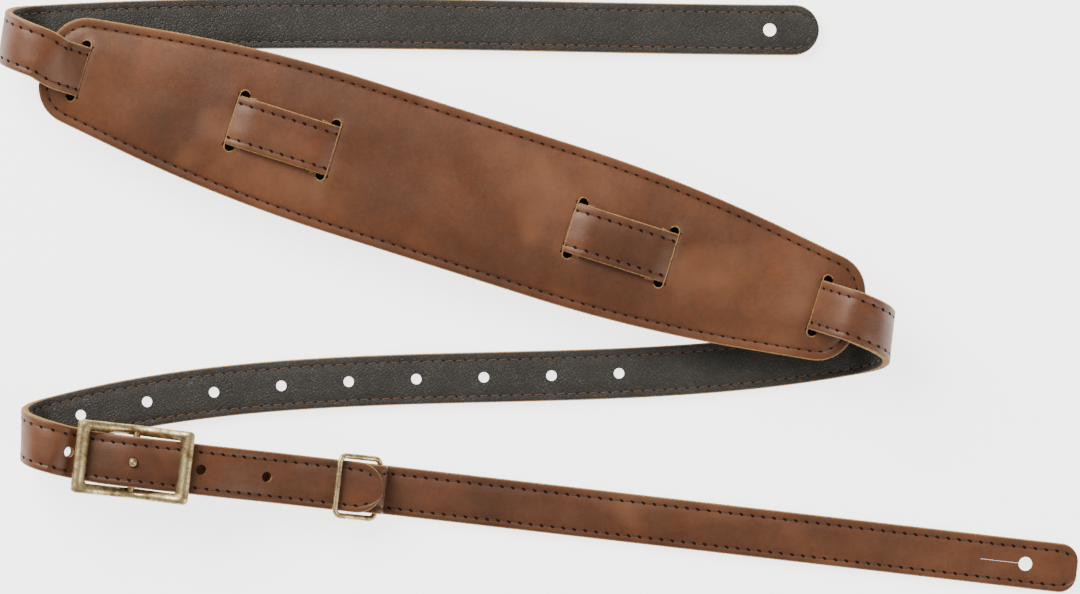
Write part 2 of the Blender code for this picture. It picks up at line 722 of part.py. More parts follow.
def make_keeper():
    """A wire ring: one bar inside the tail's turn, the other over the strap."""
    long = KEEPER_LENGTH - KEEPER_WIRE
    half = (KEEPER_WIDTH - KEEPER_WIRE) / 2
    over = TIP_LEVEL + PLY_GAP / 2 + LEATHER + FIT_GAP + KEEPER_WIRE / 2
    pitch = asin((over - TURN_AXIS + KEEPER_LIFT) / long)
    axis = pivot("keeper_axis", (*at_tail(KEEPER_FROM_PEG), TURN_AXIS), pitch)
    corner = KEEPER_CORNER
    points = arc((-corner, half - corner), corner, 0, 90, 5)
    points += arc((-long + corner, half - corner), corner, 90, 180, 5)
    points += arc((-long + corner, corner - half), corner, 180, 270, 5)
    points += arc((-corner, corner - half), corner, 270, 360, 5)
    loop = [(x, y, 0) for x, y in points]
    mesh = tube_mesh("keeper_ring", loop, KEEPER_WIRE / 2, True)
    ring = add_part("keeper_ring", mesh, BRASS_MATERIAL)
    ring.parent = axis


clear_scene()
PARTS = make_collection("guitar_strap")
CUTTERS = make_collection("cutters")
LEATHER_MATERIAL = make_material("brown leather", (0.22, 0.09, 0.045), 0.5)
LINING_MATERIAL = make_material("dark lining", (0.05, 0.045, 0.038), 0.7)
FOAM_MATERIAL = make_material("foam", (0.35, 0.34, 0.32), 0.9)
BRASS_MATERIAL = make_material("antique brass", (0.62, 0.48, 0.25), 0.35, 1.0)
make_main_strap()
make_tail()
make_pad()
make_buckle()
make_keeper()
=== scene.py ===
"""The look of the woven leather guitar strap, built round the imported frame."""

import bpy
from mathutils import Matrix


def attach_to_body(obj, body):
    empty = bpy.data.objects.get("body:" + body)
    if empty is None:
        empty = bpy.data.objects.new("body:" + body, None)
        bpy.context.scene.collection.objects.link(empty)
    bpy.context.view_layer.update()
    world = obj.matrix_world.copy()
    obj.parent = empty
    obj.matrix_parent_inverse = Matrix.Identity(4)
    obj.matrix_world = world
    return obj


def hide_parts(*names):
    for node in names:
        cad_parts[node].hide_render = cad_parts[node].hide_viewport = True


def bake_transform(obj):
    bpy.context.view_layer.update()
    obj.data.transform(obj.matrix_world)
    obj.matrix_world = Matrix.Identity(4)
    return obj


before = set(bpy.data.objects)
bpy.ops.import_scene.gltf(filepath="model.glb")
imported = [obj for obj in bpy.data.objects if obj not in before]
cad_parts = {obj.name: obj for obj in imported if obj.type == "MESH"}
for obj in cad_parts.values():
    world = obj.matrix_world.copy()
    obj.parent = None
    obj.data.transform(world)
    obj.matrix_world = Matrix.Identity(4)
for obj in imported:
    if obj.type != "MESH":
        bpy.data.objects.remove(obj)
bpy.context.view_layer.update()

from bisect import bisect_right
from math import asin, atan2, cos, degrees, hypot, pi, radians, sin, sqrt

import bmesh
import bpy
from mathutils import Matrix, Vector
from mathutils.noise import noise

# ---- sizes of the frame, in metres ----
STRAP_WIDTH, LEATHER, LINING, PLY_GAP = 0.01905, 0.0016, 0.0010, 0.0003
CLEAR, FIT_GAP = 0.0004, 0.0003
HOLE_PITCH, HOLE_DIAMETER, BUTTON_HOLE = 0.0254, 0.0039, 0.0049
TIP_RADIUS = STRAP_WIDTH / 2
PAD_LENGTH, PAD_WIDTH, PAD_END_WIDTH, PAD_STRAIGHT, PAD_CORNER = 0.3190, 0.0592, 0.0370, 0.1640, 0.0120
PAD_THICK, PAD_HEIGHT = 0.0056, 0.0140
SLOT_OFFSETS, SLOT_RAMP = (0.1459, 0.0900, 0.0425), 0.0130
PAD_CENTRE, PAD_HEADING = (-0.0329, 0.0403), -17.6
BUTTON_TIP_X, BUTTON_RUN_Y, BUTTON_HOLE_FROM_TIP = 0.1048, 0.1003, 0.0185
TOP_FOLD = dict(start=(-0.1850, BUTTON_RUN_Y), radius=0.0140, tilt=-8.8, advance=0.0095, side=-1)
RIGHT_FOLD = dict(start=(0.1168, -0.0072), radius=0.0140, tilt=-6.3, advance=0.0130, side=1)
LOW_FOLD = dict(start=(-0.1814, -0.0466), radius=0.0110, tilt=-1.0, advance=0.0097, side=-1)
PEG_POINT, TAIL_HEADING = (-0.1518, -0.0616), -6.6
TAIL_BEYOND_PEG, STRAP_BEYOND_PEG = 0.3559, 0.0936
TAIL_WIDTH, TAIL_TIP_RADIUS, TAIL_HOLE_FROM_TIP, TAIL_HOLE = 0.0184, 0.0065, 0.0195, 0.0052
BUCKLE_LENGTH, BUCKLE_WIDTH, END_BAR, END_BAR_DEPTH, RAIL = 0.0440, 0.0275, 0.0049, 0.0030, 0.0030
BAR_DIAMETER, BAR_HEIGHT, END_BAR_RISE, BAR_DIP = 0.0028, 0.0170, 0.0080, 0.0015
PEG_DIAMETER, PEG_HEAD = 0.0030, 0.0036
KEEPER_FROM_PEG, KEEPER_LENGTH, KEEPER_WIDTH, KEEPER_WIRE = 0.0915, 0.0190, 0.0246, 0.0021
KEEPER_CORNER, KEEPER_LIFT, TURN_LENGTH, SETTLED = 0.0025, 0.0004, 0.0115, 0.0600
ADJUSTER_HOLES, SLIT_LENGTH = 10, 0.0170
FACE, BACK_FACE = LEATHER + PLY_GAP / 2, LINING + PLY_GAP / 2      # out from the gap's middle
FRONT_LEVEL = PAD_HEIGHT + PAD_THICK + CLEAR + BACK_FACE
BACK_LEVEL = PAD_HEIGHT - CLEAR - FACE
BAR_LOOP = BAR_DIAMETER / 2 + FIT_GAP + LEATHER / 2
WIRE_LOOP = KEEPER_WIRE / 2 + FIT_GAP + LEATHER / 2
STRAP_OVER_BAR = BAR_HEIGHT + BAR_LOOP + LEATHER / 2 + FIT_GAP + BACK_FACE
TAIL_REST = LINING + PLY_GAP + LEATHER / 2
TURN_LOWER = TAIL_REST + LEATHER + FIT_GAP
TURN_AXIS = TURN_LOWER + WIRE_LOOP
TIP_LEVEL = TURN_AXIS + WIRE_LOOP + LEATHER / 2 + FIT_GAP + BACK_FACE

# ---- sizes of the finish ----
STITCH, STITCH_SPACE = 0.0041, 0.0010
THREAD, BACK_THREAD = 0.00021, 0.00022
STITCH_TOP, STITCH_BOTTOM = 0.0030, 0.0026
# FRONT_MOUTH, BACK_MOUTH and the MOUTH_ sizes shape the dark ovals of painted shade that stand for the
# needle holes
FRONT_MOUTH, BACK_MOUTH = (0.00086, 0.00050), (0.00042, 0.00022)
STITCH_LEAN, MOUTH_LIFT, MOUTH_SIDES, MOUTH_TURN = 0.00014, 0.00019, 8, -0.5
GROOVE_FLOOR = 0.00018              # how far under the face a stitch starts
SLIT_WIDTH = 0.00015                # its lips lie nearly shut
LAP = 0.0001                        # how far a layer laps into the gap below it
STATION, SEAM_STATION, FOLD_STEPS, TURN_STEPS = 0.0016, 0.0040, 36, 14
PUNCH_DEPTH, SHARP = 0.012, 45
UP = Vector((0, 0, 1))


# ---- the strap's route, as the frame has it ----
def plan(heading):
    """The level direction at a heading in degrees."""
    return Vector((cos(radians(heading)), sin(radians(heading)), 0))


def ease(value):
    value = min(max(value, 0.0), 1.0)
    return value * value * (3 - 2 * value)


def level(distance, knots):
    """The height at a distance, eased from knot to knot."""
    if distance <= knots[0][0]:
        return knots[0][1]
    for (start, low), (end, high) in zip(knots, knots[1:]):
        if distance <= end:
            return low + (high - low) * ease((distance - start) / (end - start))
    return knots[-1][1]


def spaced(start, end, count):
    return [start + (end - start) * step / count for step in range(count + 1)]


def even(start, end, step=STATION):
    """Points from start to end, about a step apart."""
    return spaced(start, end, max(2, round(abs(end - start) / step)))


def round_tip(start, radius, count):
    """Points along a round tip, close together where it closes."""
    return [start + radius * sin(pi / 2 * step / count) for step in range(1, count + 1)]


def fold_slope(fold):
    """How many degrees the strap turns away as it advances through a fold."""
    return degrees(atan2(fold["advance"], pi * fold["radius"]))


def fold_points(fold, rising):
    """Half a turn round a level axis that leans with the fold."""
    radius = fold["radius"]
    height = FACE + (0 if rising else 2 * radius)
    across = plan(fold["tilt"]) * fold["side"]
    along = plan(fold["tilt"] - 90)
    points = []
    for step in range(FOLD_STEPS + 1):
        angle = pi * step / FOLD_STEPS
        lift = radius * (1 - cos(angle)) * (1 if rising else -1)
        place = Vector((*fold["start"], height)) + across * radius * sin(angle) + UP * lift
        points.append((place + along * fold["advance"] * step / FOLD_STEPS, -along))
    return points


def run_points(start, start_heading, end, end_heading, heights, distances):
    """A run that is one smooth curve seen from above, with its height eased between knots."""
    span = hypot(end[0] - start[0], end[1] - start[1])
    first, last = Vector((start[0], start[1], 0)), Vector((end[0], end[1], 0))
    out, into = plan(start_heading) * span, plan(end_heading) * span
    points = []
    for distance in distances:
        t = distance / span
        place = (first * (2 * t**3 - 3 * t**2 + 1) + out * (t**3 - 2 * t**2 + t)
                 + last * (3 * t**2 - 2 * t**3) + into * (t**3 - t**2))
        heading = (first - last) * (6 * t**2 - 6 * t) + out * (3 * t**2 - 4 * t + 1)
        heading += into * (3 * t**2 - 2 * t)
        side = UP.cross(heading).normalized()
        if side.y < 0:
            side = -side
        place.z = level(distance, heights)
        points.append((place, side))
    return points


def frames_of(points):
    """Each point with its direction of travel, its width direction and the leather's face."""
    frames = []
    for index, (place, side) in enumerate(points):
        before = points[max(index - 1, 0)][0]
        after = points[min(index + 1, len(points) - 1)][0]
        travel = (after - before).normalized()
        width = (side - travel * side.dot(travel)).normalized()
        frames.append((place, travel, width, travel.cross(width).normalized()))
    return frames


def at_tail(distance):
    """The point of the tail's straight line at a distance from the peg."""
    place = Vector((*PEG_POINT, 0)) + plan(TAIL_HEADING) * distance
    return (place.x, place.y)


def button_run():
    span = BUTTON_TIP_X - TOP_FOLD["start"][0]
    entry = 180 + TOP_FOLD["tilt"] + fold_slope(TOP_FOLD)
    tip = [TIP_RADIUS * (1 - cos(pi / 2 * step / 16)) for step in range(16)]
    distances = tip + even(TIP_RADIUS, span)
    return run_points((BUTTON_TIP_X, BUTTON_RUN_Y), 180, TOP_FOLD["start"], entry,
                      ((0, FACE),), distances)


def weave_knots(begin, finish):
    """Heights along the pad, over it and under it by turns, between the two folds."""
    far, mid, near = SLOT_OFFSETS
    knots = []
    for number, slot in enumerate((-far, -mid, -near, near, mid, far)):
        before, after = (FRONT_LEVEL, BACK_LEVEL) if number % 2 == 0 else (BACK_LEVEL, FRONT_LEVEL)
        knots += [(slot - SLOT_RAMP, before), (slot + SLOT_RAMP, after)]
    knots[0], knots[-1] = begin, finish
    return knots


def woven_run(begin, finish):
    heading, centre = plan(PAD_HEADING), Vector((*PAD_CENTRE, 0))
    knots = weave_knots(((begin - centre).dot(heading), begin.z),
                        ((finish - centre).dot(heading), finish.z))
    near_end = SLOT_OFFSETS[0] + SLOT_RAMP / 2
    first, last = centre - heading * near_end, centre + heading * near_end
    leave = TOP_FOLD["tilt"] - fold_slope(TOP_FOLD)
    enter = RIGHT_FOLD["tilt"] - fold_slope(RIGHT_FOLD)
    span = hypot(first.x - begin.x, first.y - begin.y)
    entry = run_points(begin, leave, first, PAD_HEADING, ((0, 0),), even(0, span, STATION / 2))
    middle = [(centre + heading * s, UP.cross(heading)) for s in even(-near_end, near_end, STATION / 1.6)]
    span = hypot(last.x - finish.x, last.y - finish.y)
    close = run_points(last, PAD_HEADING, finish, enter, ((0, 0),), even(0, span, STATION / 2))
    points = []
    for place, side in entry + middle[1:] + close[1:]:
        height = level((place - centre).dot(heading), knots)
        points.append((Vector((place.x, place.y, height)), side))
    return points


def adjuster_run(start, end):
    leave = 180 + RIGHT_FOLD["tilt"] + fold_slope(RIGHT_FOLD)
    entry = 180 + LOW_FOLD["tilt"] + fold_slope(LOW_FOLD)
    span = hypot(end.x - start.x, end.y - start.y)
    return run_points(start, leave, end, entry, ((0, FACE),), even(0, span))


def buckle_run(begin):
    peg, reach = at_tail(0), BUCKLE_LENGTH / 2
    leave = LOW_FOLD["tilt"] - fold_slope(LOW_FOLD)
    lead = hypot(peg[0] - begin.x, peg[1] - begin.y)
    under_bar = STRAP_OVER_BAR - BAR_DIP
    heights = ((0, begin.z), (lead - reach, under_bar), (lead - reach + END_BAR, under_bar),
               (lead, STRAP_OVER_BAR))
    first = run_points(begin, leave, peg, TAIL_HEADING, heights, even(0, lead, STATION / 1.5))
    knots = ((0, STRAP_OVER_BAR), (reach - END_BAR, under_bar), (reach, under_bar),
             (SETTLED, TIP_LEVEL), (STRAP_BEYOND_PEG, TIP_LEVEL))
    straight = STRAP_BEYOND_PEG - TIP_RADIUS
    distances = even(0, straight, STATION / 1.3) + round_tip(straight, TIP_RADIUS, 16)
    second = run_points(peg, TAIL_HEADING, at_tail(STRAP_BEYOND_PEG), TAIL_HEADING, knots, distances)
    return first + second[1:], len(first) - 1


def whole_strap():
    """The strap's stretches: name and frames, with directions worked out over the whole route."""
    top, low = fold_points(TOP_FOLD, True), fold_points(LOW_FOLD, True)
    right = fold_points(RIGHT_FOLD, False)
    last, peg_index = buckle_run(low[-1][0])
    stretches = [("button_run", button_run()), ("top_fold", top),
                 ("pad_run", woven_run(top[-1][0], right[0][0])), ("right_fold", right),
                 ("adjuster_run", adjuster_run(right[-1][0], low[0][0])), ("low_fold", low),
                 ("buckle_run", last)]
    points, spans = [], {}
    for name, stretch in stretches:
        begin = max(len(points) - 1, 0)
        points += stretch if not points else stretch[1:]
        spans[name] = (begin, len(points) - 1)
    return frames_of(points), spans, spans["buckle_run"][0] + peg_index


def tail_route():
    """Distance and height of the tail's leather: keeper turn, over and round the bar, to its tip."""
    reach = BUCKLE_LENGTH / 2
    over = ((0.0, BAR_HEIGHT + BAR_LOOP), (reach - END_BAR, BAR_HEIGHT + BAR_LOOP - BAR_DIP),
            (reach, BAR_HEIGHT + BAR_LOOP - BAR_DIP), (SETTLED, TURN_LOWER))
    under = ((0.0, BAR_HEIGHT - BAR_LOOP), (SETTLED, TAIL_REST))
    route = [(x, TURN_AXIS + WIRE_LOOP) for x in spaced(KEEPER_FROM_PEG - TURN_LENGTH, KEEPER_FROM_PEG, 8)]
    route += [(KEEPER_FROM_PEG + WIRE_LOOP * sin(a), TURN_AXIS + WIRE_LOOP * cos(a))
              for a in spaced(0, pi, 16)[1:]]
    route += [(x, level(x, over)) for x in even(KEEPER_FROM_PEG, 0.0, STATION / 1.3)[1:]]
    route += [(BAR_LOOP * sin(a), BAR_HEIGHT + BAR_LOOP * cos(a)) for a in spaced(0, -pi, 16)[1:]]
    straight = TAIL_BEYOND_PEG - TAIL_TIP_RADIUS
    route += [(x, level(x, under)) for x in even(0.0, straight, STATION / 1.3)[1:]]
    return route + [(x, TAIL_REST) for x in round_tip(straight, TAIL_TIP_RADIUS, 12)]


# ---- materials ----
class Nodes:
    """A small helper that adds and links a material's nodes."""

    def __init__(self, name):
        self.material = bpy.data.materials.new(name)
        self.material.use_nodes = True
        self.tree = self.material.node_tree
        self.shader = self.tree.nodes["Principled BSDF"]
        self.place = self.add("ShaderNodeTexCoord").outputs["Object"]

    def add(self, kind, **values):
        node = self.tree.nodes.new(kind)
        for name, value in values.items():
            node.inputs[name].default_value = value
        return node

    def link(self, source, target):
        self.tree.links.new(source, target)

    def noise(self, size, detail=3.0, rough=0.55):
        node = self.add("ShaderNodeTexNoise", Scale=1 / size, Detail=detail, Roughness=rough)
        self.link(self.place, node.inputs["Vector"])
        return node.outputs["Fac"]

    def cells(self, size):
        node = self.add("ShaderNodeTexVoronoi", Scale=1 / size)
        node.feature = "DISTANCE_TO_EDGE"
        self.link(self.place, node.inputs["Vector"])
        return node.outputs["Distance"]

    def ramp(self, source, *stops):
        node = self.add("ShaderNodeValToRGB")
        elements = node.color_ramp.elements
        while len(elements) < len(stops):
            elements.new(0.5)
        for element, (position, colour) in zip(elements, stops):
            element.position = position
            element.color = (*colour, 1) if len(colour) == 3 else (colour[0],) * 3 + (1,)
        self.link(source, node.inputs["Fac"])
        return node.outputs["Color"]

    def mix(self, kind, amount, first, second):
        node = self.add("ShaderNodeMix")
        node.data_type = "RGBA"
        node.blend_type = kind
        for socket, value in ((node.inputs[0], amount), (node.inputs[6], first), (node.inputs[7], second)):
            if isinstance(value, bpy.types.NodeSocket):
                self.link(value, socket)
            else:
                socket.default_value = value if isinstance(value, float) else (*value, 1)
        return node.outputs[2]

    def span(self, source, low, high, start=0.0, end=1.0):
        node = self.add("ShaderNodeMapRange")
        for index, value in ((1, low), (2, high), (3, start), (4, end)):
            node.inputs[index].default_value = value
        self.link(source, node.inputs["Value"])
        return node.outputs["Result"]

    def bump(self, source, depth, strength, after=None):
        node = self.add("ShaderNodeBump", Strength=strength, Distance=depth)
        self.link(source, node.inputs["Height"])
        if after is not None:
            self.link(after, node.inputs["Normal"])
        return node.outputs["Normal"]

    def finish(self, colour, roughness, normal=None, **fixed):
        for socket, value in (("Base Color", colour), ("Roughness", roughness), ("Normal", normal)):
            if isinstance(value, bpy.types.NodeSocket):
                self.link(value, self.shader.inputs[socket])
            elif value is not None:
                self.shader.inputs[socket].default_value = value
        for name, value in fixed.items():
            self.shader.inputs[name.replace("_", " ")].default_value = value
        return self.material


def leather_material():
    """Oiled pull-up leather: dark and light clouds, fine pores, small creases, soft gloss."""
    n = Nodes("brown_leather")
    clouds = n.noise(0.055, 3.0, 0.6)
    base = n.ramp(clouds, (0.30, (0.056, 0.0175, 0.0060)), (0.50, (0.094, 0.0310, 0.0115)),
                  (0.70, (0.138, 0.0480, 0.0185)))
    fine = n.noise(0.0022, 4.0, 0.65)
    colour = n.mix("MULTIPLY", 0.55, base, n.ramp(fine, (0.25, (0.62,)), (0.60, (1.0,)), (0.85, (1.18,))))
    speck = n.noise(0.0006, 2.0)
    colour = n.mix("MULTIPLY", 0.35, colour, n.ramp(speck, (0.30, (0.55,)), (0.48, (1.0,))))
    warm = n.ramp(n.noise(0.017, 2.0), (0.45, (1.0, 1.0, 1.0)), (0.72, (1.20, 1.02, 0.82)))
    colour = n.mix("MULTIPLY", 0.8, colour, warm)
    pulled = n.span(n.noise(0.030, 2.0), 0.56, 0.74)
    colour = n.mix("MIX", n.span(pulled, 0.0, 1.0, 0.0, 0.45), colour, (0.200, 0.0820, 0.0340))
    pores = n.bump(n.cells(0.00075), 0.00010, 0.30)
    grain = n.bump(n.noise(0.0011, 5.0, 0.7), 0.00018, 0.42, pores)
    hand = n.bump(n.noise(0.009, 2.0), 0.00050, 0.30, grain)
    gloss = n.span(n.noise(0.012, 4.0), 0.3, 0.7, 0.40, 0.56)
    return n.finish(colour, gloss, hand, Coat_Weight=0.05, Coat_Roughness=0.40,
                    Coat_Tint=(1.0, 0.90, 0.80, 1), Specular_IOR_Level=0.42,
                    Specular_Tint=(1.0, 0.88, 0.76, 1))


def edge_material():
    """The raw cut edge of the leather: pale tan with loose fibres."""
    n = Nodes("raw_edge")
    fibres = n.noise(0.0007, 5.0, 0.75)
    colour = n.ramp(fibres, (0.30, (0.110, 0.048, 0.014)), (0.50, (0.280, 0.150, 0.050)),
                    (0.72, (0.420, 0.260, 0.100)))
    return n.finish(colour, 0.85, n.bump(fibres, 0.00025, 0.8), Specular_IOR_Level=0.25)


def lining_material():
    """Fine pebbled garment leather, nearly black, with shade painted into the crevices between the pebbles.
    """
    n = Nodes("dark_lining")
    tone = n.noise(0.02, 3.0)
    base = n.ramp(tone, (0.32, (0.0200, 0.0165, 0.0115)), (0.68, (0.0320, 0.0270, 0.0195)))
    pebble_and_crevice_shade = n.cells(0.00105)
    # the colour is darkened along the pebbles' edges, where the bump sinks into crevices: painted shade
    colour = n.mix("MULTIPLY", 0.75, base, n.ramp(pebble_and_crevice_shade, (0.0, (0.48,)), (0.16, (1.0,))))
    lumps = n.bump(n.span(pebble_and_crevice_shade, 0.0, 0.26), 0.00018, 0.75)
    soft = n.bump(n.noise(0.0030, 3.0), 0.0003, 0.35, lumps)
    return n.finish(colour, n.span(n.noise(0.004, 3.0), 0.3, 0.7, 0.50, 0.68), soft,
                    Specular_IOR_Level=0.38)


def thread_material(name, dark, light):
    """Twisted thread: bands across the strand, darker where the twist sinks (painted shade in its grooves),
    a little fuzz.
    """
    n = Nodes(name)
    twist_and_groove_shade = n.noise(0.00035, 3.0, 0.7)
    # the colour follows the bump, darker where it sinks: painted shade in the twist's grooves
    colour = n.ramp(twist_and_groove_shade, (0.35, dark), (0.65, light))
    return n.finish(colour, 0.72, n.bump(twist_and_groove_shade, 0.00012, 0.7), Sheen_Weight=0.2)


def hole_shade_material():
    """Painted shade: the shadowed mouth of a needle hole in the leather, laid on it as a flat dark oval."""
    n = Nodes("needle_hole_shade")
    colour = n.ramp(n.noise(0.0006), (0.4, (0.006, 0.003, 0.002)), (0.7, (0.022, 0.010, 0.005)))
    return n.finish(colour, 0.9, Specular_IOR_Level=0.1)


def brass_material():
    """Antiqued brass: rubbed pale highs, brown-grey mottling in between, fine pitting."""
    n = Nodes("antique_brass")
    blotch = n.noise(0.0042, 5.0, 0.72)
    colour = n.ramp(blotch, (0.34, (0.13, 0.085, 0.040)), (0.46, (0.34, 0.24, 0.115)),
                    (0.58, (0.60, 0.47, 0.235)), (0.75, (0.72, 0.60, 0.34)))
    speck = n.noise(0.0007, 3.0, 0.7)
    colour = n.mix("MULTIPLY", 0.7, colour, n.ramp(speck, (0.32, (0.50,)), (0.52, (1.0,))))
    rough = n.span(blotch, 0.35, 0.65, 0.56, 0.30)
    pits = n.bump(speck, 0.00012, 0.45)
    return n.finish(colour, rough, n.bump(n.noise(0.0025, 2.0), 0.0002, 0.25, pits), Metallic=1.0)


def foam_material():
    """Grey closed-cell foam, seen only in the slots."""
    n = Nodes("foam")
    cells = n.noise(0.0009, 3.0)
    colour = n.ramp(cells, (0.35, (0.10, 0.095, 0.085)), (0.65, (0.17, 0.16, 0.15)))
    return n.finish(colour, 0.95, n.bump(cells, 0.0002, 0.6))


LEATHER_LOOK, EDGE_LOOK, LINING_LOOK = leather_material(), edge_material(), lining_material()
FOAM_LOOK = foam_material()
FRONT_THREAD_LOOK = thread_material("front_thread", (0.034, 0.0100, 0.0042), (0.078, 0.0240, 0.0100))
BACK_THREAD_LOOK = thread_material("back_thread", (0.055, 0.020, 0.0070), (0.140, 0.055, 0.0200))
HOLE_SHADE_LOOK, BRASS_LOOK = hole_shade_material(), brass_material()


# ---- mesh helpers ----
def add_object(name, data):
    made = bpy.data.objects.new(name, data)
    bpy.context.scene.collection.objects.link(made)
    return made


def angles(count):
    return [2 * pi * k / count for k in range(count)]


def bands(rings, size, first=0, cyclic=False):
    """The quads between neighbouring rings of points."""
    faces = []
    for ring in range(rings if cyclic else rings - 1):
        here, there = first + ring * size, first + (ring + 1) % rings * size
        faces += [(here + k, here + (k + 1) % size, there + (k + 1) % size, there + k)
                  for k in range(size)]
    return faces


def face_outward(mesh):
    shape = bmesh.new()
    shape.from_mesh(mesh)
    bmesh.ops.recalc_face_normals(shape, faces=shape.faces)
    shape.to_mesh(mesh)
    shape.free()


def attach(piece, body, slot_name, *nodes):
    """Rides a body and stands for the CAD nodes named; slot_name is not used."""
    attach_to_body(piece, body)
    for node in nodes:
        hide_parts(node)


def new_piece(name, corners, faces, looks, face_looks=None, smooth=SHARP):
    mesh = bpy.data.meshes.new(name)
    mesh.from_pydata([tuple(corner) for corner in corners], [], faces)
    for look in looks:
        mesh.materials.append(look)
    if face_looks:
        mesh.polygons.foreach_set("material_index", face_looks)
    mesh.update()
    if smooth:
        mesh.shade_smooth()
        mesh.set_sharp_from_angle(angle=radians(smooth))
    return add_object(name, mesh)


def settle(piece):
    """Replaces a piece's modifiers by their result."""
    bpy.context.view_layer.update()
    done = bpy.data.meshes.new_from_object(piece.evaluated_get(bpy.context.evaluated_depsgraph_get()))
    piece.modifiers.clear()
    piece.data = done
    return piece


def bore(piece, cutters, look_from_cutter=True):
    """Cuts the cutters out of a piece; the cut faces can take the cutter's material."""
    for cutter in cutters:
        modifier = piece.modifiers.new("cut", "BOOLEAN")
        modifier.object = cutter
        modifier.solver = "EXACT"
        modifier.material_mode = "TRANSFER" if look_from_cutter else "INDEX"
    settle(piece)
    piece.data.set_sharp_from_angle(angle=radians(SHARP))


def punch_at(spot, diameter, depth=PUNCH_DEPTH, sides=40):
    """A round cutter that stands on a spot of the strap: its place and its three directions."""
    place, travel, width, out = spot
    mesh = bpy.data.meshes.new("punch")
    shape = bmesh.new()
    bmesh.ops.create_cone(shape, cap_ends=True, segments=sides, radius1=diameter / 2,
                          radius2=diameter / 2, depth=depth)
    shape.to_mesh(mesh)
    shape.free()
    mesh.materials.append(EDGE_LOOK)
    punch = add_object("punch", mesh)
    turn = Matrix((travel, width, out)).transposed().to_4x4()
    punch.matrix_world = Matrix.Translation(place) @ turn
    return punch


def discard(things):
    for thing in things:
        bpy.data.objects.remove(thing, do_unlink=True)


def tube(name, points, radius, look, sides, cyclic=False):
    """A closed tube through the points; radius may be a list."""
    count = len(points)
    corners, side = [], UP
    for index, place in enumerate(points):
        before = points[index - 1] if index or cyclic else place
        after = points[(index + 1) % count] if index < count - 1 or cyclic else place
        travel = (after - before).normalized()
        side = side - travel * side.dot(travel)
        side = side.normalized() if side.length > 1e-6 else travel.orthogonal().normalized()
        up = travel.cross(side)
        size = radius[index] if isinstance(radius, list) else radius
        corners += [place + (side * cos(a) + up * sin(a)) * size for a in angles(sides)]
    faces = bands(count, sides, cyclic=cyclic)
    if not cyclic:
        faces += [tuple(reversed(range(sides))), tuple(range((count - 1) * sides, count * sides))]
    return new_piece(name, corners, faces, [look])


# ---- the strap's layers ----
def walked(frames):
    """Each frame's distance along the route."""
    total, result = 0.0, []
    previous = frames[0][0]
    for place, *_ in frames:
        total += (place - previous).length
        previous = place
        result.append(total)
    return result


def step_at(lengths, distance):
    """The step of a walked line that a distance falls in, and how far along it."""
    index = min(max(bisect_right(lengths, distance) - 1, 0), len(lengths) - 2)
    return index, (distance - lengths[index]) / max(lengths[index + 1] - lengths[index], 1e-9)


def frame_at(frames, lengths, distance):
    index, share = step_at(lengths, distance)
    here, there = frames[index], frames[index + 1]
    mixed = [a.lerp(b, share).normalized() for a, b in zip(here[1:], there[1:])]
    return (here[0].lerp(there[0], share), *mixed)


def half_width(full, from_end, radius):
    """Half the strap's width at a distance from its round tip."""
    if not radius or from_end >= radius:
        return full / 2
    return max(full / 2 - radius + sqrt(max(radius**2 - (radius - from_end) ** 2, 0.0)), 0.0004)


def groove_fade(half):
    """1 where the strap is wide, down to 0 where its tip is too narrow for a stitch groove."""
    return min(max((half - NARROW) / NARROW, 0.0), 1.0)


# The width's two ends are (inset or offset, height) points: the rolled edge, then the stitch groove.
NARROW, CROWN = 0.0040, 0.00006
ROLLED_EDGE = ((0.0, -0.0007), (0.00042, -0.00014), (0.0007, -0.00002), (0.0013, 0.00002))
GROOVE = ((0.0006, 0.0), (0.0002, -0.00014), (0.0, -0.00022), (-0.0002, -0.00014), (-0.0006, 0.00001))


def leather_profile(half, full, thick, fade):
    """Across the leather's face: rolled edges, a sunk stitch line each side, a slight crown."""
    def one_side(line):
        points = [(full - inset, height) for inset, height in ROLLED_EDGE]
        points += [(line + offset, height * (fade if height < 0 else 1)) for offset, height in GROOVE]
        return points + [(full * 0.3, CROWN)]

    top, low = one_side(full - STITCH_TOP), one_side(full - STITCH_BOTTOM)
    share = half / full
    return [(y * share, thick + z) for y, z in top + [(-x, z) for x, z in reversed(low)]]


def layer(name, frames, widths, full, inner, outer, looks):
    """One ply swept along the frames: inner is the flat face, outer the rolled and grooved one."""
    corners = []
    sign = 1 if outer > inner else -1
    for (place, _, across, out), (half, fade) in zip(frames, widths):
        corners += [place + across * y + out * sign * z
                    for y, z in leather_profile(half, full, abs(outer), fade)]
        edge = half - 0.00004
        corners += [place - across * edge + out * inner, place + across * edge + out * inner]
    rings, size = len(frames), len(corners) // len(frames)
    sides = (0, size - 4, size - 3, size - 1)           # the rolled corners and the two cut sides
    kinds = [1 if k in sides else 0 for k in range(size)] * (rings - 1) + [1, 1]
    faces = bands(rings, size) + [tuple(range(size))[::-1], tuple(range((rings - 1) * size, rings * size))]
    if sign < 0:
        faces = [face[::-1] for face in faces]
    piece = new_piece(name, corners, faces, looks, kinds, 40)
    face_outward(piece.data)
    piece.data.set_sharp_from_angle(angle=radians(40))
    return piece


STITCH_RING = 6
STITCH_SHAPE = ((0.0, -0.00030, 0.6), (0.10, 0.00002, 0.85), (0.32, 0.00012, 1.0), (0.68, 0.00012, 1.0),
                (0.90, 0.00002, 0.85), (1.0, -0.00030, 0.6))


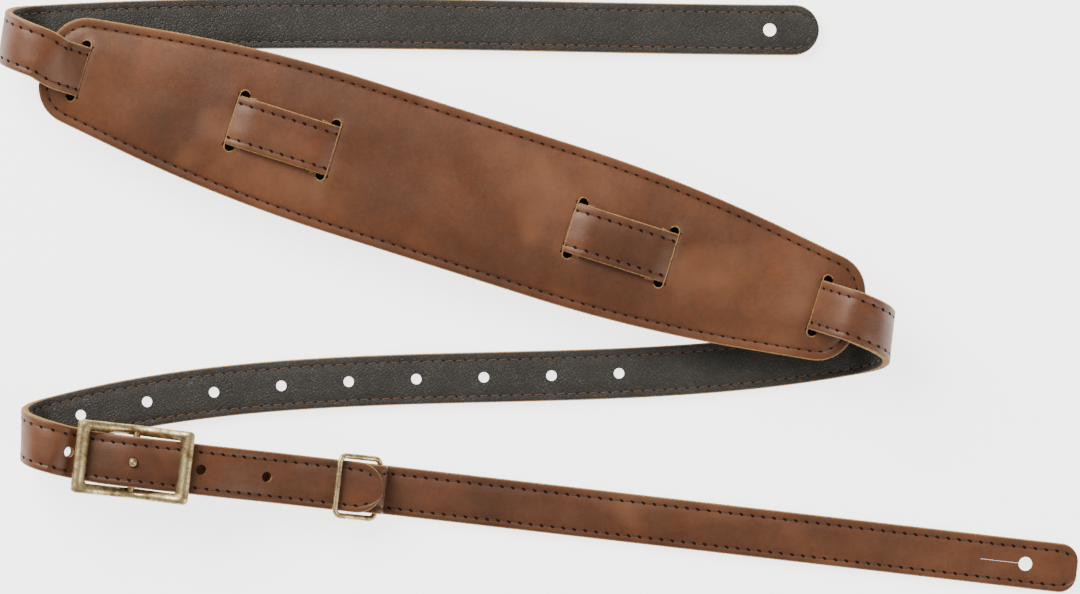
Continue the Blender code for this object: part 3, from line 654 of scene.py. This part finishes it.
class Sewing:
    """Collects stitches, and the painted shade of the needle holes between them, as small closed meshes."""

    def __init__(self):
        # holes gathers the points of the dark ovals of painted shade that stand for the needle holes
        self.thread, self.thread_faces, self.holes, self.hole_shade_faces = [], [], [], []

    def stitch(self, start, end, out, radius):
        travel = (end - start).normalized()
        side = travel.cross(out)
        first = len(self.thread)
        for share, lift, size in STITCH_SHAPE:
            centre = start.lerp(end, share) + out * lift
            self.thread += [centre + (side * cos(a) + out * sin(a) * 0.8) * radius * size
                            for a in angles(STITCH_RING)]
        self.thread_faces += bands(len(STITCH_SHAPE), STITCH_RING, first)
        last = first + (len(STITCH_SHAPE) - 1) * STITCH_RING
        self.thread_faces += [tuple(range(first + STITCH_RING - 1, first - 1, -1)),
                              tuple(range(last, last + STITCH_RING))]

    def hole(self, centre, travel, out, long, wide):
        """A dark oval of painted shade for a needle hole's mouth, leaning across the stitch line."""
        side = out.cross(travel)
        long_way = (travel * cos(MOUTH_TURN) + side * sin(MOUTH_TURN)).normalized()
        wide_way = out.cross(long_way)
        first = len(self.holes)
        self.holes += [centre + long_way * cos(a) * long + wide_way * sin(a) * wide
                       for a in angles(MOUTH_SIDES)]
        self.holes += [centre + out * 0.00003, centre - out * 0.0001]
        ring = [(first + k, first + (k + 1) % MOUTH_SIDES) for k in range(MOUTH_SIDES)]
        self.hole_shade_faces += [(a, b, first + MOUTH_SIDES) for a, b in ring]
        self.hole_shade_faces += [(b, a, first + MOUTH_SIDES + 1) for a, b in ring]

    def pieces(self, name, look):
        return (new_piece(name + "_thread", self.thread, self.thread_faces, [look], smooth=60),
                new_piece(name + "_needle_hole_shades", self.holes, self.hole_shade_faces, [HOLE_SHADE_LOOK]))


def sew(line, point_at, kind, owner_of, sewings):
    """Stitches along a line of (distance, sideways) points on a surface."""
    lengths = [0.0]
    for (s0, y0), (s1, y1) in zip(line, line[1:]):
        lengths.append(lengths[-1] + hypot(s1 - s0, y1 - y0))
    count = int(lengths[-1] / STITCH)
    pitch = lengths[-1] / count

    def on_line(distance):
        index, share = step_at(lengths, distance)
        (s0, y0), (s1, y1) = line[index], line[index + 1]
        return s0 + (s1 - s0) * share, y0 + (y1 - y0) * share

    for number in range(count):
        begin = on_line(number * pitch + STITCH_SPACE / 2)
        end = on_line((number + 1) * pitch - STITCH_SPACE / 2)
        gap = on_line(min((number + 1) * pitch, lengths[-1] - 1e-6))
        start, out = point_at(*begin)
        finish, _ = point_at(*end)
        sewing = sewings[owner_of((begin[0] + end[0]) / 2)]
        lean = (finish - start).cross(out).normalized() * STITCH_LEAN
        sewing.stitch(start + lean, finish - lean, out, kind["radius"])
        # each gap gets a dark oval of painted shade for its needle hole
        centre, up = point_at(*gap)
        sewing.hole(centre + up * MOUTH_LIFT, (finish - start).normalized(), up, *kind["mouth"])


FRONT = dict(radius=THREAD, look=FRONT_THREAD_LOOK, mouth=FRONT_MOUTH, slot="brown_leather")
BACK = dict(radius=BACK_THREAD, look=BACK_THREAD_LOOK, mouth=BACK_MOUTH, slot="dark_lining")


def sew_on(name, line, point_at, kind, body):
    """A stitch line on a piece that rides one body."""
    sewing = Sewing()
    sew(line, point_at, kind, lambda distance: 0, [sewing])
    for piece in sewing.pieces(name, kind["look"]):
        attach(piece, body, kind["slot"])


# ---- putting the strap together ----
FRAMES, SPANS, PEG_INDEX = whole_strap()
LENGTHS = walked(FRAMES)
TOTAL, PEG_AT = LENGTHS[-1], LENGTHS[PEG_INDEX]
BODIES = {"button_run": "button_section", "pad_run": "pad_section", "adjuster_run": "adjuster_section",
          "buckle_run": "tail_section"}


def place_piece(piece, stretch):
    """Rides the stretch's body; a fold's piece is baked in place and rides no body."""
    if stretch in BODIES:
        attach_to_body(piece, BODIES[stretch])
    else:
        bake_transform(piece)


def stretch_at(distance):
    for name, (_, end) in SPANS.items():
        if distance <= LENGTHS[end]:
            return name
    return "buckle_run"


def strap_width_at(distance):
    from_end = min(distance, TOTAL - distance)
    half = half_width(STRAP_WIDTH, from_end, TIP_RADIUS)
    return half, groove_fade(half)


def surface(face):
    """Where a point of the strap's face lies: face is 1 for the leather and -1 for the lining."""
    depth = (FACE if face > 0 else BACK_FACE) - GROOVE_FLOOR

    def at(distance, sideways):
        place, _, across, out = frame_at(FRAMES, LENGTHS, distance)
        return place + across * sideways + out * (face * depth), out * face
    return at


def loop_line(start, end, top, low, radius):
    """A closed stitch line: along the top edge, round the far tip, back, and round the near tip."""
    middle = (top - low) / 2
    line = [(x, top) for x in even(start + radius, end - radius, SEAM_STATION)]
    line += [(end - radius + radius * sin(a), middle + (top - middle) * cos(a))
             for a in spaced(0, pi, TURN_STEPS)[1:]]
    line += [(x, -low) for x in even(end - radius, start + radius, SEAM_STATION)[1:]]
    line += [(start + radius - radius * sin(a), middle - (middle + low) * cos(a))
             for a in spaced(0, pi, TURN_STEPS)[1:]]
    return line


PLIES = {"leather": ([LEATHER_LOOK, EDGE_LOOK], PLY_GAP / 2 - LAP, FACE, "brown_leather"),
         "lining": ([LINING_LOOK, EDGE_LOOK], LAP - PLY_GAP / 2, -BACK_FACE, "dark_lining")}
STANDS_FOR = {"button_run": ("button_run", "top_fold"), "pad_run": ("pad_run", "top_fold", "right_fold"),
              "adjuster_run": ("adjuster_run", "right_fold", "low_fold"),
              "buckle_run": ("buckle_run", "low_fold")}


def strap_holes():
    """Distance and diameter of every hole: the button hole, those by the peg, and the spare ones."""
    holes = [(BUTTON_HOLE_FROM_TIP, BUTTON_HOLE)]
    holes += [(PEG_AT + HOLE_PITCH * number, HOLE_DIAMETER) for number in (-1, 0, 1, 2)]
    first = PEG_AT - 2 * HOLE_PITCH
    return holes + [(first - HOLE_PITCH * number, HOLE_DIAMETER) for number in range(1, ADJUSTER_HOLES)]


def make_strap():
    made = {}
    for stretch, (begin, end) in SPANS.items():
        frames = FRAMES[begin:end + 1]
        widths = [strap_width_at(distance) for distance in LENGTHS[begin:end + 1]]
        for ply, (looks, inner, outer, _) in PLIES.items():
            name = f"{stretch}_{ply}_skin"
            made[stretch, ply] = layer(name, frames, widths, STRAP_WIDTH / 2, inner, outer, looks)
    for stretch, (begin, end) in SPANS.items():
        punches = [punch_at(frame_at(FRAMES, LENGTHS, distance), size) for distance, size in strap_holes()
                   if LENGTHS[begin] < distance < LENGTHS[end]]
        if punches:
            for ply in PLIES:
                bore(made[stretch, ply], punches)
            discard(punches)
    for (stretch, ply), piece in made.items():
        place_piece(piece, stretch)
    for node, parts in STANDS_FOR.items():
        for ply in PLIES:
            for part in parts:
                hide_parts(f"{node}_{ply}")


def stitch_strap():
    """One closed seam round the whole strap on each face, split between the stretches."""
    top, low = STRAP_WIDTH / 2 - STITCH_TOP, STRAP_WIDTH / 2 - STITCH_BOTTOM
    line = loop_line(STITCH_BOTTOM + 0.0002, TOTAL - STITCH_BOTTOM - 0.0002, top, low, (top + low) / 2)
    for face, name, kind in ((1, "front", FRONT), (-1, "back", BACK)):
        sewings = {stretch: Sewing() for stretch in SPANS}
        sew(line, surface(face), kind, stretch_at, sewings)
        for stretch, sewing in sewings.items():
            for piece in sewing.pieces(f"{stretch}_{name}", kind["look"]):
                place_piece(piece, stretch)


def tail_places(route):
    side = UP.cross(plan(TAIL_HEADING))
    return frames_of([(Vector((*at_tail(x), z)), side) for x, z in route])


def tail_halves(lengths):
    halves = [half_width(TAIL_WIDTH, lengths[-1] - distance, TAIL_TIP_RADIUS) for distance in lengths]
    return [(half, groove_fade(half)) for half in halves]


def tail_cutters(flat):
    """The button hole, the slit that leads to it, and the hole over the bar for the peg."""
    hole_place = TAIL_BEYOND_PEG - TAIL_HOLE_FROM_TIP
    hole = punch_at((Vector((*at_tail(hole_place), TAIL_REST)), *flat), TAIL_HOLE)
    bpy.ops.mesh.primitive_cube_add(size=1)
    slit = bpy.context.object
    slit.data.materials.append(EDGE_LOOK)
    slit.data.transform(Matrix.Diagonal((SLIT_LENGTH, SLIT_WIDTH, PUNCH_DEPTH, 1)))
    slit.location = (*at_tail(hole_place - SLIT_LENGTH / 2), TAIL_REST)
    slit.rotation_euler = (0, 0, radians(TAIL_HEADING))
    eye = punch_at((Vector((*at_tail(0), BAR_HEIGHT + BAR_LOOP)), *flat), HOLE_DIAMETER, 2 * LEATHER)
    bpy.context.view_layer.update()
    return hole, slit, eye


def make_tail():
    frames = tail_places(tail_route())
    lengths = walked(frames)
    leather = layer("tail_leather_skin", frames, tail_halves(lengths), TAIL_WIDTH / 2, -LEATHER / 2,
                    LEATHER / 2, [LEATHER_LOOK, EDGE_LOOK])
    straight = TAIL_BEYOND_PEG - TAIL_TIP_RADIUS
    along = even(SETTLED, straight) + round_tip(straight, TAIL_TIP_RADIUS, 12)
    below = tail_places([(x, BACK_FACE) for x in along])
    reach = [x - SETTLED for x in along]
    looks, inner, outer, _ = PLIES["lining"]
    lining = layer("tail_lining_skin", below, tail_halves(reach), TAIL_WIDTH / 2, inner, outer, looks)
    hole, slit, eye = tail_cutters(below[1][1:])
    bore(leather, [hole, slit, eye])
    bore(lining, [hole, slit])
    discard([hole, slit, eye])
    attach(leather, "tail_section", "brown_leather", "tail_strap_leather")
    attach(lining, "tail_section", "dark_lining", "tail_strap_lining")

    def grain(distance, sideways):
        place, _, across, out = frame_at(frames, lengths, distance)
        return place + across * sideways + out * (LEATHER / 2 - GROOVE_FLOOR), out

    def under(distance, sideways):
        place, _, across, out = frame_at(below, reach, distance)
        return place + across * sideways - out * (BACK_FACE - GROOVE_FLOOR), -out

    for name, at, end, kind in (("tail_front", grain, lengths[-1], FRONT),
                                ("tail_back", under, reach[-1], BACK)):
        line = tip_line(0.0005, end, TAIL_WIDTH / 2 - STITCH_TOP, TAIL_WIDTH / 2 - STITCH_BOTTOM)
        sew_on(name, line, at, kind, "tail_section")


def tip_line(start, end, top, low):
    """An open stitch line: out along the top edge, across the round tip, and back along the bottom."""
    radius = TAIL_TIP_RADIUS - (STITCH_TOP + STITCH_BOTTOM) / 2
    turn = end - TAIL_TIP_RADIUS
    line = [(x, top) for x in even(start, turn, SEAM_STATION)]
    line += [(turn + radius * sin(a), top - radius + radius * cos(a)) for a in spaced(0, pi / 2, 8)[1:]]
    line += [(turn + radius * cos(a), radius - low - radius * sin(a)) for a in spaced(0, pi / 2, 8)]
    return line + [(x, -low) for x in even(turn, start, SEAM_STATION)[1:]]


# ---- the shoulder pad ----
PAD_MATRIX = Matrix.Translation((*PAD_CENTRE, PAD_HEIGHT)) @ Matrix.Rotation(radians(PAD_HEADING), 4, "Z")
FLANGE, SEAM_INSET, SWELL = 0.0036, 0.0033, 0.0150
LIP_RISE, LIP_REACH, PRESS = 0.0009, 0.0080, 0.0007
SLOT_LONG, SLOT_END, SEAM_LIFT = 0.0240, 0.0019, 0.00004
LIP_SPAN, LIP_FADE, LIP_STEP = 0.0150, 0.0060, 0.0030
RIM_ROLL, RIM_ROUND, CHANNEL_DEPTH, CHANNEL_HALF = 0.0005, 0.0009, 0.00038, 0.0007
CALM_RIM, BASE_FLAT, BASE_RISE = 0.008, 0.002, 0.009
INSETS = (0.0, 0.00045, 0.0009, 0.0015, 0.0024, 0.0029, 0.0033, 0.0037, 0.0042, 0.0051, 0.0064, 0.0082,
          0.0104)


def pad_half(x):
    """Half the pad's width at a distance from its middle: one long curve into round corners."""
    x = abs(x)
    straight, end, bend = PAD_STRAIGHT / 2, PAD_LENGTH / 2 - PAD_CORNER, 0.0420
    slope = (PAD_WIDTH - PAD_END_WIDTH) / 2 / (PAD_LENGTH / 2 - straight)
    past = x - straight
    turn = (past + bend) ** 2 / (4 * bend) if abs(past) < bend else max(past, 0.0)
    half = PAD_WIDTH / 2 - slope * turn
    if x > end:
        half -= PAD_CORNER - sqrt(max(PAD_CORNER**2 - (x - end) ** 2, 0.0))
    return half


def pad_rim():
    """Points round the pad's rim, as distances from its middle."""
    tips = [PAD_LENGTH / 2 - PAD_CORNER + PAD_CORNER * sin(a) for a in spaced(0, pi / 2, 14)]
    xs = even(0, tips[0], 0.0040) + tips[1:]
    half = [(x, pad_half(x)) for x in xs]
    top = [(-x, y) for x, y in reversed(half)] + half[1:]
    return top + [(x, -y) for x, y in reversed(top)]


RIM = [Vector(point) for point in pad_rim()]


def rim_distance(x, y):
    """How far a point is from the pad's edge."""
    point = Vector((x, y))
    best = 1.0
    for a, b in zip(RIM, RIM[1:] + RIM[:1]):
        if abs(a.x - x) > 0.035:
            continue
        along = b - a
        square = along.length_squared
        share = min(max((point - a).dot(along) / square, 0.0), 1.0) if square else 0.0
        best = min(best, (point - a - along * share).length)
    return best


def find_lips():
    """Where the strap's face passes the pad's at each slot, and the side of it the strap lies under."""
    into = PAD_MATRIX.inverted()
    begin, end = SPANS["pad_run"]
    heights = []
    for place, _, _, out in FRAMES[begin:end + 1]:
        local = into @ (place + out * FACE)
        heights.append((local.x, local.z - PAD_THICK - LIP_RISE))
    lips = []
    for (x0, h0), (x1, h1) in zip(heights, heights[1:]):
        if h0 * h1 < 0:
            lips.append((x0 + (x1 - x0) * h0 / (h0 - h1), 1 if h0 > 0 else -1))
    return lips


LIPS = find_lips()


def slot_shape(x, y):
    """How far the strap pushes the pad's face up, over it, or down, beneath it."""
    total = 0.0
    across = ease((LIP_SPAN - abs(y)) / LIP_FADE)
    for lip, under in LIPS:
        beyond = (x - lip) * under
        if 0 <= beyond < LIP_REACH * 2:
            total += LIP_RISE * across * (1 - ease(beyond / (LIP_REACH * 2)))
        elif -LIP_REACH < beyond < 0:
            sunk = ease(-beyond / LIP_STEP)
            total += across * (LIP_RISE * (1 - sunk) - PRESS * sunk * (1 - ease(-beyond / LIP_REACH)))
    return total


def pad_face(x, y):
    """The height of the pad's leather above its base: a flat rim, a sewn channel, a swollen middle."""
    inset = rim_distance(x, y)
    rise = PAD_THICK - FLANGE
    height = FLANGE - RIM_ROLL * max(1 - inset / RIM_ROUND, 0.0) ** 2
    height -= CHANNEL_DEPTH * max(1 - abs(inset - SEAM_INSET) / CHANNEL_HALF, 0.0)
    swell = min(max((inset - SEAM_INSET) / SWELL, 0.0), 1.0)
    height += rise * sin(pi / 2 * swell) ** 0.8
    wave = noise(Vector((x * 42, y * 60, 1.7))) * 0.00022 + noise(Vector((x * 130, y * 150, 4.2))) * 0.00006
    return height + (wave + slot_shape(x, y)) * min(inset / CALM_RIM, 1.0)


def pad_base(x, y):
    """The height of the pad's underside: flat in the middle, drawn up to the rim."""
    inset = rim_distance(x, y)
    return (FLANGE - LEATHER - LINING) * (1 - ease((inset - BASE_FLAT) / BASE_RISE))


def pad_grid(inset):
    """Rows of points across the pad, close together along its edge."""
    end = PAD_LENGTH / 2 - inset
    ends = [end - depth for depth in INSETS if depth < PAD_CORNER]
    ends += [end - 0.0125 - 0.0018 * step for step in range(4)]
    inner = even(-ends[-1], ends[-1], 0.0022)
    xs = sorted(-x for x in ends)[:-1] + inner + sorted(ends)[1:]
    rows = []
    for x in xs:
        half = max(pad_half(abs(x) + inset * (1 if abs(x) > PAD_LENGTH / 2 - PAD_CORNER else 0)) - inset,
                   0.0006)
        scale = min(half / 0.0125, 1.0)
        edge = [half - depth * scale for depth in INSETS]
        core = edge[-1]
        middle = [core * (1 - 2 * k / 16) for k in range(1, 16)]
        rows.append([(x, y) for y in edge + middle + [-y for y in reversed(edge)]])
    return rows


def pad_shell(name, inset, upper, lower, looks):
    """A closed sheet of the pad between two heights."""
    rows = pad_grid(inset)
    columns = len(rows[0])
    corners = [(x, y, upper(x, y)) for row in rows for x, y in row]
    count = len(corners)
    corners += [(x, y, lower(x, y)) for row in rows for x, y in row]
    faces, kinds = [], []
    for r in range(len(rows) - 1):
        for c in range(columns - 1):
            a, b = r * columns + c, r * columns + c + 1
            quad = (a, b, b + columns, a + columns)
            faces += [quad, tuple(k + count for k in reversed(quad))]
            rim = r in (0, len(rows) - 2) or c in (0, columns - 2)
            kinds += [len(looks) - 1 if rim else 0, 0]
    last = (len(rows) - 1) * columns
    ring = list(range(columns)) + [r * columns + columns - 1 for r in range(1, len(rows))]
    ring += [last + c for c in range(columns - 2, -1, -1)]
    ring += [r * columns for r in range(len(rows) - 2, 0, -1)]
    for a, b in zip(ring, ring[1:] + ring[:1]):
        faces.append((a, a + count, b + count, b))
        kinds.append(len(looks) - 1)
    piece = new_piece(name, corners, faces, looks, kinds, 50)
    face_outward(piece.data)
    piece.data.transform(PAD_MATRIX)
    return piece


def weave_cutter():
    """The strap's way through the pad, with a little room round it."""
    begin, end = SPANS["pad_run"]
    half, room = STRAP_WIDTH / 2 + 0.0007, 0.00022
    corners = []
    for place, _, across, out in FRAMES[begin:end + 1]:
        low, high = -BACK_FACE - room, FACE + room
        corners += [place + across * y + out * z for y, z in ((half, high), (-half, high), (-half, low),
                                                             (half, low))]
    faces = bands(end - begin + 1, 4) + [(3, 2, 1, 0), tuple(range(len(corners) - 4, len(corners)))]
    cutter = new_piece("weave cutter", corners, faces, [EDGE_LOOK], smooth=0)
    face_outward(cutter.data)
    return cutter


def slot_punches():
    """The round ends of the slots, which stand a little clear of the strap."""
    punches = []
    turn = PAD_MATRIX.to_3x3()
    flat = (turn @ Vector((1, 0, 0)), turn @ Vector((0, 1, 0)), UP)
    for lip, under in LIPS:
        for side in (-1, 1):
            y = side * (SLOT_LONG / 2 - SLOT_END)
            place = PAD_MATRIX @ Vector((lip - under * SLOT_END, y, PAD_THICK / 2))
            punches.append(punch_at((place, *flat), 2 * SLOT_END, 0.02, 28))
    return punches


def make_pad():
    leather = pad_shell("pad_leather_skin", 0.0, pad_face, lambda x, y: pad_face(x, y) - LEATHER,
                        [LEATHER_LOOK, EDGE_LOOK])
    lining = pad_shell("pad_lining_skin", 0.0001, lambda x, y: pad_base(x, y) + LINING, pad_base,
                       [LINING_LOOK, EDGE_LOOK])
    foam = pad_shell("pad_foam_core", 0.0042, lambda x, y: pad_face(x, y) - LEATHER + 0.0001,
                     lambda x, y: pad_base(x, y) + LINING - 0.0001, [FOAM_LOOK])
    bare, cutter, punches = weave_cutter(), weave_cutter(), slot_punches()
    for punch in punches:
        modifier = cutter.modifiers.new("punch", "BOOLEAN")
        modifier.operation = "UNION"
        modifier.object = punch
        modifier.solver = "EXACT"
    settle(cutter)
    discard(punches)
    for piece, node, slot_name in ((leather, "shoulder_pad_leather", "brown_leather"),
                                   (lining, "shoulder_pad_lining", "dark_lining"),
                                   (foam, "shoulder_pad_foam", "foam")):
        bore(piece, [bare if piece is lining else cutter], piece is not foam)
        attach(piece, "pad_section", slot_name, node)
    discard([bare, cutter])
    for name, (lip, under) in zip("abcdef", LIPS):
        make_lip(f"slot_lip_{name}", lip, under)
    stitch_pad()


def make_lip(name, lip, under):
    """The pale cut edge of a slot: round one end hole, straight across, and round the other."""
    x, reach = lip - under * SLOT_END, SLOT_LONG / 2 - SLOT_END
    route = [(x + SLOT_END * cos(a) * under, reach + SLOT_END * sin(a)) for a in spaced(pi * 0.85, 0.1, 14)]
    route += [(lip + 0.00012 * noise(Vector((y * 300, lip, 0))), y)
              for y in even(reach, -reach, 0.0010)[1:-1]]
    route += [(px, -py) for px, py in reversed(route[:15])]
    points = [PAD_MATRIX @ Vector((px, py, pad_face(px, py) - 0.00006)) for px, py in route]
    sizes = [0.00028 + 0.00009 * noise(point * 900) for point in points]
    sizes[0] = sizes[-1] = 0.00012
    attach(tube(name, points, sizes, EDGE_LOOK, sides=8), "pad_section", "brown_leather")


def stitch_pad():
    """A stitch line all round, following the rim, on the face and on the underside."""
    line = []
    for before, here, after in zip(RIM[-1:] + RIM[:-1], RIM, RIM[1:] + RIM[:1]):
        along = after - before
        point = here + Vector((along.y, -along.x)).normalized() * SEAM_INSET
        line.append((point.x, point.y))
    line.append(line[0])

    def face(x, y):
        return PAD_MATRIX @ Vector((x, y, pad_face(x, y) + SEAM_LIFT)), UP

    def back(x, y):
        return PAD_MATRIX @ Vector((x, y, pad_base(x, y) - SEAM_LIFT)), -UP

    sew_on("pad_front", line, face, FRONT, "pad_section")
    sew_on("pad_back", line, back, BACK, "pad_section")


# ---- buckle and keeper ----
OUTER_CORNER, INNER_CORNER, WINDOW_ROOM = 0.0019, 0.0011, 0.00035


def rounded_loop(long, wide, corner, per_side=12, per_corner=7):
    """Points round a rectangle with round corners, the same count for every size."""
    points = []
    centres = [Vector((x * (long - corner), y * (wide - corner)))
               for x, y in ((1, 1), (-1, 1), (-1, -1), (1, -1))]
    for quarter, centre in enumerate(centres):
        after = centres[(quarter + 1) % 4]
        for a in spaced(quarter * pi / 2, (quarter + 1) * pi / 2, per_corner):
            points.append(centre + Vector((cos(a), sin(a))) * corner)
        a = (quarter + 1) * pi / 2
        start = centre + Vector((cos(a), sin(a))) * corner
        end = after + Vector((cos(a), sin(a))) * corner
        points += [start.lerp(end, step / per_side) for step in range(1, per_side)]
    return points


def buckle_ring():
    """The buckle's frame: bevelled ends and rails that bow down to the middle bar."""
    outer = rounded_loop(BUCKLE_LENGTH / 2, BUCKLE_WIDTH / 2, OUTER_CORNER)
    inner = rounded_loop(BUCKLE_LENGTH / 2 - END_BAR, STRAP_WIDTH / 2 + WINDOW_ROOM, INNER_CORNER)
    reach, deep = (BUCKLE_LENGTH - END_BAR) / 2, END_BAR_DEPTH / 2
    section = ((0.0, -0.45), (0.0, 0.25), (0.06, 0.62), (0.22, 0.90), (0.42, 1.0), (0.60, 0.92),
               (0.80, 0.52), (0.94, 0.10), (1.0, -0.30), (0.93, -0.80), (0.75, -0.97), (0.25, -1.0),
               (0.06, -0.85))
    corners, faces = [], []
    for far, near in zip(outer, inner):
        for share, height in section:
            at = far.lerp(near, share)
            z = END_BAR_RISE * ease(abs(at.x) / reach) + deep * height
            z += 0.00008 * noise(Vector((at.x * 500, at.y * 500, z * 500)))
            corners.append((at.x, at.y, z))
    count, size = len(outer), len(section)
    for ring in range(count):
        here, there = ring * size, (ring + 1) % count * size
        faces += [(here + k, there + k, there + (k + 1) % size, here + (k + 1) % size) for k in range(size)]
    return new_piece("buckle_ring", corners, faces, [BRASS_LOOK], smooth=60)


def on_axis(piece, place, pitch=0.0):
    """Sets a piece, made round its own axis, on an axis across the tail."""
    piece.matrix_world = (Matrix.Translation(place) @ Matrix.Rotation(radians(TAIL_HEADING), 4, "Z")
                          @ Matrix.Rotation(pitch, 4, "Y"))


def buckle_peg():
    """The peg, turned round its axis: a post from the bar through the strap, with a domed head."""
    sides = 32
    rise = STRAP_OVER_BAR + PLY_GAP / 2 + LEATHER + 2 * FIT_GAP - BAR_HEIGHT
    outline = [(PEG_DIAMETER / 2, BAR_DIAMETER / 2), (PEG_DIAMETER / 2, rise - FIT_GAP)]
    dome = [(PEG_HEAD / 2 * cos(a), rise + PEG_HEAD / 2 * sin(a) * 0.95) for a in spaced(0, pi / 2, 8)]
    corners = [(radius * cos(a), radius * sin(a), z) for radius, z in outline + dome[:-1]
               for a in angles(sides)]
    faces = bands(len(corners) // sides, sides)
    top = len(corners) - sides
    corners.append((0, 0, dome[-1][1]))
    faces += [(top + k, top + (k + 1) % sides, len(corners) - 1) for k in range(sides)]
    faces.append(tuple(reversed(range(sides))))
    return new_piece("buckle_peg_ball", corners, faces, [BRASS_LOOK], smooth=50)


def make_buckle():
    ring = buckle_ring()
    reach = BUCKLE_WIDTH / 2 - RAIL / 2
    bar = tube("buckle_middle_bar", [Vector((0, y, 0)) for y in spaced(-reach, reach, 8)], BAR_DIAMETER / 2,
               BRASS_LOOK, sides=24)
    peg = buckle_peg()
    for piece, node in ((ring, "buckle_frame"), (bar, "buckle_frame"), (peg, "buckle_peg")):
        on_axis(piece, Vector((*PEG_POINT, BAR_HEIGHT)))
        attach(piece, "buckle", "antique_brass", node)


def make_keeper():
    long, half = KEEPER_LENGTH - KEEPER_WIRE, (KEEPER_WIDTH - KEEPER_WIRE) / 2
    over = TIP_LEVEL + PLY_GAP / 2 + LEATHER + FIT_GAP + KEEPER_WIRE / 2
    pitch = asin((over - TURN_AXIS + KEEPER_LIFT) / long)
    loop = [Vector((p.x - long / 2, p.y, 0)) for p in rounded_loop(long / 2, half, KEEPER_CORNER, 10, 9)]
    ring = tube("keeper_wire", loop, KEEPER_WIRE / 2, BRASS_LOOK, cyclic=True, sides=20)
    on_axis(ring, (*at_tail(KEEPER_FROM_PEG), TURN_AXIS), pitch)
    attach(ring, "keeper", "antique_brass", "keeper_ring")


make_strap()
stitch_strap()
make_tail()
make_pad()
make_buckle()
make_keeper()


# ---- the picture ----
FLOOR_COLOUR, FLOOR_GLOW, ROOM_LIGHT = (0.93, 0.93, 0.93), 2.8, 0.45
CAMERA_HEIGHT, LENS = 3.0, 266.0


def floor_material():
    """Pale paper that glows a little, so that it stays near white under soft light."""
    n = Nodes("pale_floor")
    soft = n.ramp(n.noise(0.3, 2.0), (0.3, tuple(c * 0.985 for c in FLOOR_COLOUR)), (0.7, FLOOR_COLOUR))
    n.shader.inputs["Emission Color"].default_value = (1, 1, 1, 1)
    return n.finish(soft, 0.9, Specular_IOR_Level=0.1, Emission_Strength=FLOOR_GLOW)


def area_light(name, place, size, power):
    """A rectangle of light that looks at the origin."""
    lamp = bpy.data.lights.new(name, "AREA")
    lamp.shape = "RECTANGLE"
    lamp.size, lamp.size_y = size
    lamp.energy = power
    light = add_object(name, lamp)
    light.location = place
    light.rotation_euler = (-Vector(place)).to_track_quat("-Z", "Y").to_euler()
    return light


def make_stage():
    bpy.ops.mesh.primitive_plane_add(size=6, location=(0, 0, -0.0006))
    floor = bpy.context.object
    floor.name = "floor"
    floor.data.materials.append(floor_material())
    area_light("overhead", (-1.1, 1.2, 1.4), (1.5, 1.2), 84.0)
    area_light("side", (1.4, -0.9, 1.1), (1.0, 1.0), 20.0)
    world = bpy.data.worlds.new("studio")
    bpy.context.scene.world = world
    world.use_nodes = True
    background = world.node_tree.nodes["Background"]
    background.inputs["Color"].default_value = (1.0, 1.0, 1.0, 1)
    background.inputs["Strength"].default_value = ROOM_LIGHT


def make_camera():
    lens = bpy.data.cameras.new("camera")
    lens.lens = LENS
    lens.clip_end = 20.0
    lens.dof.use_dof = False
    camera = add_object("camera", lens)
    camera.location = (0, 0, CAMERA_HEIGHT)
    bpy.context.scene.camera = camera


make_stage()
make_camera()
